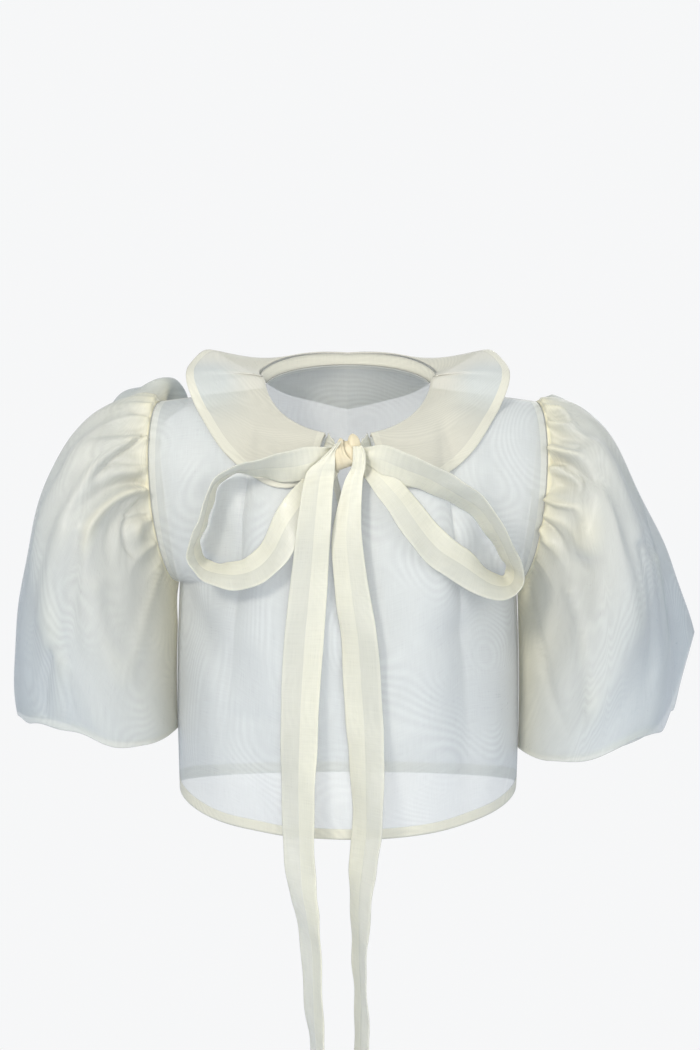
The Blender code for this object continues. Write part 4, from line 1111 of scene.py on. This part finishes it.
def sleeve(name, side, form, waves, hollows, pinches, lines, lumps, lobes, seed):
    angle = np.arange(0, 360, 1.2)
    down = stepped((0.03, 8), (0.12, 18), (0.5, 40), (0.962, 32), (0.966, 1), (1.0, 5))
    angles, levels = np.meshgrid(angle, down)
    row = form.at(angles)
    full = fullness(angles, hollows)[..., None]
    start = armhole(angles) + xyz(OFF_SEAM, 0.0, 0.0)
    leave = xyz(row.leave_out, -row.leave_front, row.leave_up) * full
    wave = sum(up * np.exp(-(turned_off(angles, middle) / spread) ** 2) for middle, spread, up in waves)
    hem = xyz(row.hem_out, -row.hem_front, row.hem_up + wave)
    arrive = xyz(row.fall_out, -row.fall_front, -row.fall_down)
    points = hermite(start, leave, hem, arrive, levels[..., None])
    metres = -flat_lengths(points, closed=True)[:, :-1, 1]
    lift = gathered(angles, metres, pinches, seed)
    in_front = ease((angles - 4) / 16) * (angles < 180)
    lift += placed(points[..., [0, 2]] * 1000, lines, lumps) * in_front * FOLD_STRENGTH / 1000
    winding = np.radians(angles) * 0.09
    around = np.stack([np.cos(np.radians(angles)) * SLEEVE_RADIUS, metres + winding * 0.2], -1)
    lift += ripple(around, SLEEVE_WAVE, SLEEVE_WAVE_LIFT, seed)
    near_body = ease((angles - 140) / 30) * ease((220 - angles) / 30)
    lift = lift * (1 - 0.8 * near_body) * ease(metres / 0.004)
    points = points + grid_normals(points, closed=True) * lift[..., None]
    for middle, distance, spread, reach, *shift in lobes:
        near = np.exp(-(turned_off(angles, middle) / spread) ** 2 - ((metres - distance) / reach) ** 2)
        points = points + np.array(shift) * near[..., None]
    points = against_body(points, angles, metres)
    points[..., 0] *= side
    layers = 1.0 + GATHERED_CLOTH * np.exp(-metres / 0.014) + 0.3 * np.exp(-metres / 0.08)
    # troughs turn denser and yellower: partly bunched cloth, partly painted shade in the valleys
    layers += VALLEY_LAYERS_AND_SHADE * np.clip(-lift / 0.005, 0, 1.2)
    layers[metres <= SEAM_DEPTH] = SEAM_CLOTH
    layers += ROLLED_HEM * ease((levels - 0.955) / 0.025) * np.clip(np.sin(np.radians(angles)), 0.2, 1)
    layers += UNDERARM_CLOTH * np.exp(-((angles - 180) / UNDERARM_REACH) ** 2)
    layers[np.abs(angles - 180) < UNDERARM_STRIP] += UNDERARM_SEAM
    # painted shade: darker and bluish away from the seam, most on the outer side, and on the lobe behind the
    # shoulder, which is in the shade
    outer = (1 + np.cos(np.radians(angles))) / 2
    painted_shade = ease((metres - PAINTED_SHADE_FROM) / (PAINTED_SHADE_TO - PAINTED_SHADE_FROM)) * (0.25 + 0.75 * outer)
    behind = np.exp(-(turned_off(angles, LOBE_MIDDLE) / LOBE_SPREAD) ** 2)
    painted_shade = np.maximum(painted_shade, behind * ease((metres - 0.004) / 0.02))
    flat = flat_lengths(points, closed=True)
    return cloth_mesh(name, [(points, layers, flat, painted_shade)], flip=side > 0, closed=True)


# For each sleeve: its side, form, hem waves, hollows, pinches, lines, lumps, lobes and seed
SLEEVES = {
    "sleeve_right": (-1, SLEEVE_RIGHT, HEM_WAVES_RIGHT, HOLLOWS_RIGHT, PINCHES_RIGHT,
                     LINES_RIGHT, LUMPS_RIGHT, LOBES_RIGHT, 11),
    "sleeve_left": (1, SLEEVE_LEFT, HEM_WAVES_LEFT, HOLLOWS_LEFT, PINCHES_LEFT,
                    LINES_LEFT, LUMPS_LEFT, LOBES_LEFT, 12),
}
sleeve_pieces = [cloth_piece(sleeve(node + "_cloth", *made_by), CLOTHS["organza_sleeve"], node)
                 for node, made_by in SLEEVES.items()]

# %% [markdown]
# ## The neck tie
# The tie is a long strip, folded, sewn and turned, so it is double, and denser along the side where its seam
# allowance lies inside. Each stretch of the bow is a table of places seen from the front. A row says which
# way the strip's width leans, how far its leading edge turns to the viewer, how wide it is and how far off it
# rests. Depth isn't in the table: the strip is laid in front of whatever is behind it.

# %% Tie stretches
TIE_WIDTH = 0.037
TIE_END_Z = -0.700
LOOP_STEPS, TAIL_STEPS = 36, 28
GATHER_DEPTH = 0.0011   # of the pleats where the strip is drawn into the knot
TWIST_DEPTH = 0.0006    # by how much one edge of the strip lifts over the other in places
TIE_LAYERS, TIE_SEAM_LAYERS, TIE_EDGE_LAYERS, GATHERED_LAYERS = 2.0, 3.2, 0.4, 3.8
LOOP_BOW, TAIL_BOW = 0.0012, 0.0010     # how far the middle stands out of the edges
FINE = 4                # computed places for each step of a stretch
SMOOTH_REACH = 5        # places on each side that a depth is smoothed over
REST = 0.0030           # how far the tie's middle stays off what it rests on


def stretch(*rows):
    """A stretch of the tie. A row may leave out its rest, or its width and rest, where they are the usual."""
    usual = (TIE_WIDTH, REST)
    return Table("place x z lean turn width rest", *[row + usual[len(row) - 5:] for row in rows])


LOOP_RIGHT = stretch(
    (0, -0.0130, -0.0665, 92, 5, 0.011, 0.0058),
    (1, -0.0370, -0.0745, 95, 12, 0.030, 0.0050),
    (2, -0.0600, -0.0790, 96, 36, 0.036),
    (3, -0.0842, -0.0803, 100, 60),
    (4, -0.1060, -0.0830, 115, 74),
    (5, -0.1244, -0.0965, 148, 79),
    (6, -0.1323, -0.1190, 178, 79),
    (7, -0.1400, -0.1400, 192, 75),
    (8, -0.1470, -0.1600, 208, 73),
    (9, -0.1405, -0.1752, 238, 71),
    (10, -0.1255, -0.1817, 258, 65),
    (11, -0.1051, -0.1808, 282, 52),
    (12, -0.0843, -0.1715, 300, 48),
    (13, -0.0675, -0.1546, 308, 38),
    (14, -0.0537, -0.1291, 316, 24, 0.036),
    (15, -0.0315, -0.0990, 318, 8, 0.028, 0.0022),
    (16, -0.0118, -0.0795, 312, 0, 0.011, 0.0040))
LOOP_LEFT = stretch(
    (0, 0.0118, -0.0668, 85, 5, 0.010, 0.0074),
    (1, 0.0326, -0.0715, 80, 16, 0.028, 0.0060),
    (2, 0.0535, -0.0805, 70, 34, 0.036),
    (3, 0.0780, -0.0900, 58, 42),
    (4, 0.1000, -0.1015, 50, 47),
    (5, 0.1222, -0.1180, 40, 55),
    (6, 0.1400, -0.1431, 25, 62),
    (7, 0.1541, -0.1681, 8, 65),
    (8, 0.1605, -0.1850, -14, 66),
    (9, 0.1545, -0.1970, -52, 63),
    (10, 0.1333, -0.1925, -86, 48),
    (11, 0.1053, -0.1714, -120, 36),
    (12, 0.0836, -0.1546, -128, 34),
    (13, 0.0641, -0.1320, -140, 38, 0.036),
    (14, 0.0450, -0.1063, -146, 34, 0.031),
    (15, 0.0275, -0.0870, -142, 16, 0.022, 0.0024),
    (16, 0.0120, -0.0775, -130, 5, 0.009, 0.0034))
TAIL_RIGHT = stretch(
    (-1.0, -0.0076, -0.0548, 20, 0, 0.0032, 0.0012),
    (-0.5, -0.0146, -0.0635, 12, 0, 0.0064, 0.0012),
    (0.0, -0.0184, -0.0705, 6, 2, 0.0134, 0.0012),
    (0.6, -0.0236, -0.0790, 4, 2, 0.0236, 0.0014),
    (1.0, -0.0256, -0.0850, 2, -4, 0.0265, 0.0014),
    (2, -0.0279, -0.0990, 0, -12, 0.0290, 0.0014),
    (3, -0.0322, -0.1417, 0, -17, 0.0330, 0.0016),
    (4, -0.0369, -0.1951, 0, -10, 0.0355),
    (5, -0.0408, -0.2386, 0, 0),
    (6, -0.0442, -0.2881, 0, 14),
    (7, -0.0458, -0.3389, 0, 20),
    (8, -0.0470, -0.3892, 0, 32),
    (9, -0.0467, -0.4399, 0, 36),
    (10, -0.0435, -0.4782, -4, 40),
    (11, -0.0390, -0.5048, -4, 50),
    (12, -0.0352, -0.5435, 0, 58),
    (13, -0.0329, -0.5955, 0, 60),
    (14, -0.0290, -0.6398, 0, 66),
    (15, -0.0250, TIE_END_Z, 0, 58))
TAIL_LEFT = stretch(
    (-1.0, 0.0088, -0.0590, 8, 0, 0.0080, 0.0006),
    (-0.6, 0.0104, -0.0655, 6, 0, 0.0112, 0.0008),
    (0.0, 0.0098, -0.0784, 2, 4, 0.0128, 0.0012),
    (1.0, 0.0046, -0.0955, 0, 8, 0.0178, 0.0024),
    (2, -0.0008, -0.1417, 0, 16, 0.0285),
    (3, 0.0043, -0.1951, 0, 18, 0.0340),
    (4, 0.0108, -0.2386, 0, 24),
    (5, 0.0137, -0.2881, 0, 18),
    (6, 0.0161, -0.3254, 0, 20),
    (7, 0.0180, -0.3640, 0, 30),
    (8, 0.0185, -0.4145, 0, 42),
    (9, 0.0150, -0.4477, 0, 44),
    (10, 0.0124, -0.4782, 0, 54),
    (11, 0.0115, -0.5177, 0, 64),
    (12, 0.0105, -0.5565, 0, 70),
    (13, 0.0130, -0.5955, 0, 70),
    (14, 0.0135, -0.6398, 0, 67),
    (15, 0.0150, TIE_END_Z, 0, 58))

# %% Ribbons


def depth_in_front(x, z, beneath):
    """The Y of the first cloth met from the front, or of the body's front line past its edges."""
    spot = beneath.ray_cast(Vector((x, -1.0, z)), Vector((0, 1, 0)))[0]
    if spot is not None:
        return spot.y
    return NECK_CENTRE[FRONT][0] - 0.012 if z > UNDERARM[2] else -HEM_DEPTH[FRONT] - 0.005


def half_widths(row):
    """Vectors from the tie's middle to its leading edge."""
    lean, turn = np.radians(row.lean), np.radians(row.turn)
    half = xyz(np.cos(lean) * np.cos(turn), -np.sin(turn), np.sin(lean) * np.cos(turn))
    return half * row.width[..., None] / 2


def laid_depths(table, steps, beneath):
    """Where along the tie, and how far back its middle lies there, smoothly in front of what is beneath."""
    place = np.linspace(table.knots[0], table.knots[-1], steps * FINE + 1)
    row = table.at(place)
    half = half_widths(row)
    spots = np.linspace(-1, 1, 11)
    depth = np.array([
        min(depth_in_front(x + h[0] * u, z + h[2] * u, beneath) - h[1] * u for u in spots) - rest
        for x, z, h, rest in zip(row.x, row.z, half, row.rest)])
    around = [slice(max(n - SMOOTH_REACH, 0), n + SMOOTH_REACH + 1) for n in range(len(depth))]
    foremost = np.array([depth[near].min() for near in around])
    return place, np.array([foremost[near].mean() for near in around])


def ribbon(name, table, steps, beneath, dense_side, bow):
    """A stretch of the tie. dense_side is -1 or 1, the edge that holds the seam allowance, and bow how far
    its middle stands out of its edges."""
    place, depths = laid_depths(table, steps, beneath)
    row = table.at(place)
    middle = xyz(row.x, depths, row.z)
    half = half_widths(row)
    tangent = np.gradient(middle, axis=0)
    normal = np.cross(half, tangent)
    normal /= np.linalg.norm(normal, axis=1, keepdims=True)
    normal *= -np.sign(normal[:, 1:2] + 1e-9)
    across = np.sort(dense_side * np.concatenate(
        [np.linspace(-1, -0.94, 2), np.linspace(-0.80, 0.02, 6), [0.06], np.linspace(0.22, 0.94, 6), [1.0]]))
    gather = np.clip(1 - row.width / TIE_WIDTH, 0, 1)[:, None]
    section = bow * (1 - across[None] ** 2) * np.sin(place * 1.9 + 0.4)[:, None]
    section = section + GATHER_DEPTH * gather * np.cos(across[None] * np.pi * 1.6 + 0.5)
    section = section + TWIST_DEPTH * np.sin(place * 5.1)[:, None] * across[None]
    points = middle[:, None] + half[:, None] * across[None, :, None] + normal[:, None] * section[..., None]
    dense = (across * dense_side > 0.03)
    layers = np.broadcast_to(np.where(dense, TIE_SEAM_LAYERS, TIE_LAYERS), points.shape[:2]).copy()
    layers[:, np.abs(across) > 0.93] += TIE_EDGE_LAYERS
    layers += (GATHERED_LAYERS - layers) * np.clip(gather * 1.6, 0, 1)
    metres = np.r_[0, np.cumsum(np.linalg.norm(np.diff(middle, axis=0), axis=1))]
    flat = np.stack(np.broadcast_arrays(across[None] * TIE_WIDTH / 2, -metres[:, None]), -1)
    return cloth_mesh(name, [(points, layers, flat)])


dressed = surface_of(front_middle, collar_middle)
loop_right_mesh = ribbon("tie_loop_right_cloth", LOOP_RIGHT, LOOP_STEPS, dressed, -1, LOOP_BOW)
loop_left_mesh = ribbon("tie_loop_left_cloth", LOOP_LEFT, LOOP_STEPS, dressed, -1, LOOP_BOW)

# %% [markdown]
# ## The knot and its straps
# The knot is one turn of the strip round all the others. What shows of it is a band that comes over the top,
# narrow, spreads to the lower edge and tucks in behind, and beside it a small upright fold of cloth. The band
# is a strip with its own depths in its table, and the fold and the filling are turned lumps with pleats. A
# narrow pleated strap runs to it from each end of the neckband.

# %% Knot
KNOT_WRAP = Table(
    "place x y z lean width bow",
    (0, -0.0050, -0.1085, -0.0550, -30, 0.0030, 0.0000),
    (1, -0.0060, -0.1185, -0.0534, -40, 0.0034, 0.0004),
    (2, -0.0070, -0.1232, -0.0600, -34, 0.0080, 0.0010),
    (3, -0.0060, -0.1250, -0.0680, -10, 0.0126, 0.0016),
    (4, -0.0036, -0.1238, -0.0752, 14, 0.0168, 0.0014),
    (5, -0.0030, -0.1180, -0.0798, 20, 0.0170, 0.0008),
    (6, -0.0030, -0.1110, -0.0788, 20, 0.0140, 0.0000))
# From the top down: half width, half depth, how far it leans to the side, and its middle's depth
KNOT_NUB = Table(
    "z half_width half_depth x y",
    (-0.0655, 0.0024, 0.0024, 0.0066, -0.1165),
    (-0.0625, 0.0042, 0.0044, 0.0062, -0.1165),
    (-0.0580, 0.0058, 0.0054, 0.0056, -0.1160),
    (-0.0535, 0.0052, 0.0046, 0.0050, -0.1150),
    (-0.0500, 0.0032, 0.0030, 0.0046, -0.1142),
    (-0.0484, 0.0008, 0.0008, 0.0044, -0.1138))
KNOT_CORE = Table(
    "z half_width half_depth x y",
    (-0.0790, 0.0030, 0.0020, 0.0010, -0.1130),
    (-0.0765, 0.0082, 0.0062, 0.0012, -0.1145),
    (-0.0700, 0.0108, 0.0080, 0.0014, -0.1150),
    (-0.0630, 0.0104, 0.0074, 0.0010, -0.1145),
    (-0.0580, 0.0074, 0.0056, 0.0000, -0.1140),
    (-0.0552, 0.0026, 0.0020, -0.0010, -0.1135))
KNOT_LAYERS = 5.0
WRAP_PLEAT = 0.00045


def knot_band():
    place = np.linspace(0, 6, 49)
    row = KNOT_WRAP.at(place)
    lean = np.radians(row.lean)
    across = np.linspace(-1, 1, 23)
    middle = xyz(row.x, row.y, row.z)
    half = xyz(np.cos(lean), 0.0, np.sin(lean)) * row.width[:, None] / 2
    out = row.bow[:, None] * (1 - across[None] ** 2)
    out = out + WRAP_PLEAT * np.sin(across[None] * 7.5 + 0.9) * ease(row.width / 0.012)[:, None]
    points = middle[:, None] + half[:, None] * across[None, :, None] + np.array([0, -1, 0]) * out[..., None]
    return points, np.full(points.shape[:2], KNOT_LAYERS), flat_lengths(points)


def knot_lump(table, pleats, depth):
    """A closed, pleated lump, turned about a leaning upright line."""
    levels = np.linspace(table.knots[0], table.knots[-1], 26)
    turn = np.linspace(0, 2 * np.pi, 65)[:-1]
    row = table.at(levels)
    fold = 1 + depth * np.cos(turn * pleats + 0.8 + np.sin(turn))
    x = row.x[:, None] + row.half_width[:, None] * fold * np.cos(turn)
    y = row.y[:, None] + row.half_depth[:, None] * fold * np.sin(turn)
    points = xyz(x, y, levels[:, None])[::-1]
    return points, np.full(points.shape[:2], KNOT_LAYERS), flat_lengths(points, closed=True)


band_mesh = cloth_mesh("tie_knot_band", [knot_band()])
lumps_mesh = cloth_mesh("tie_knot_lumps", [knot_lump(KNOT_CORE, 5, 0.07), knot_lump(KNOT_NUB, 3, 0.10)],
                        closed=True)


def knot():
    """The band as a thin shell, joined to the two lumps, whose ends are closed."""
    band = placed_object("tie_knot_cloth", band_mesh.copy())
    lumps = placed_object("tie_knot_lumps", lumps_mesh.copy())
    give_thickness(band, DOUBLED_SHELL)
    work = bmesh.new()
    work.from_mesh(lumps.data)
    bmesh.ops.holes_fill(work, edges=work.edges, sides=80)
    bmesh.ops.recalc_face_normals(work, faces=work.faces)
    work.to_mesh(lumps.data)
    work.free()
    lumps.select_set(True)
    bpy.ops.object.join()
    band.data.shade_smooth()
    band.data.materials.append(CLOTHS["organza_knot"])
    stand_for(band, "tie_knot")
    return band


knot_piece = knot()

# %% Tails
over_all = surface_of(front_middle, collar_middle, loop_right_mesh, loop_left_mesh, band_mesh, lumps_mesh)
tail_right_mesh = ribbon("tie_tail_right_cloth", TAIL_RIGHT, TAIL_STEPS, over_all, 1, TAIL_BOW)
tail_left_mesh = ribbon("tie_tail_left_cloth", TAIL_LEFT, TAIL_STEPS, over_all, -1, TAIL_BOW)
for mesh, node in ((loop_right_mesh, "tie_loop_right"), (loop_left_mesh, "tie_loop_left"),
                   (tail_right_mesh, "tie_tail_right"), (tail_left_mesh, "tie_tail_left")):
    cloth_piece(mesh, CLOTHS["organza_tie"], node, DOUBLED_SHELL)

# %% Straps
STRAP_WIDTH = 0.0135
STRAP_GATHERED = 0.0074
STRAP_LEANS = (np.array([-0.35, 0.45, 1.0]), np.array([0.26, 0.0, 1.0]))    # its upright edge at both ends
STRAP_INSET = 0.0008
STRAP_DROP = 0.0070
STRAP_END = np.array([0.0120, -0.1135, -0.0590])
STRAP_PLEAT, STRAP_BOW = 0.0009, 0.0006
STRAP_LAYERS = 4.0


def strap(name, side):
    start = seam_point(np.array([0.0]), np.array([STRAP_WIDTH / 2]))[0]
    start = start - np.array([STRAP_INSET, 0, STRAP_DROP])
    u = np.linspace(0, 1, 17)[:, None, None]
    c = np.linspace(-1, 1, 25)[None, :, None]
    lean = STRAP_LEANS[0] * (1 - u) + STRAP_LEANS[1] * u
    width = STRAP_WIDTH * (1 - u) + STRAP_GATHERED * u
    points = start * (1 - u) + STRAP_END * u + lean * c * width / 2
    pleat = STRAP_PLEAT * np.cos(c * 9 + 0.5) * (1 - 0.4 * u)
    points = points + np.array([0, -1, 0]) * (pleat + STRAP_BOW * np.sin(u * np.pi))
    points[..., 0] *= side
    layers = np.full(points.shape[:2], STRAP_LAYERS)
    return cloth_mesh(name, [(points, layers, flat_lengths(points))], flip=side < 0)


for side, node in ((-1, "tie_strap_right"), (1, "tie_strap_left")):
    cloth_piece(strap(node + "_cloth", side), CLOTHS["organza_tie"], node)
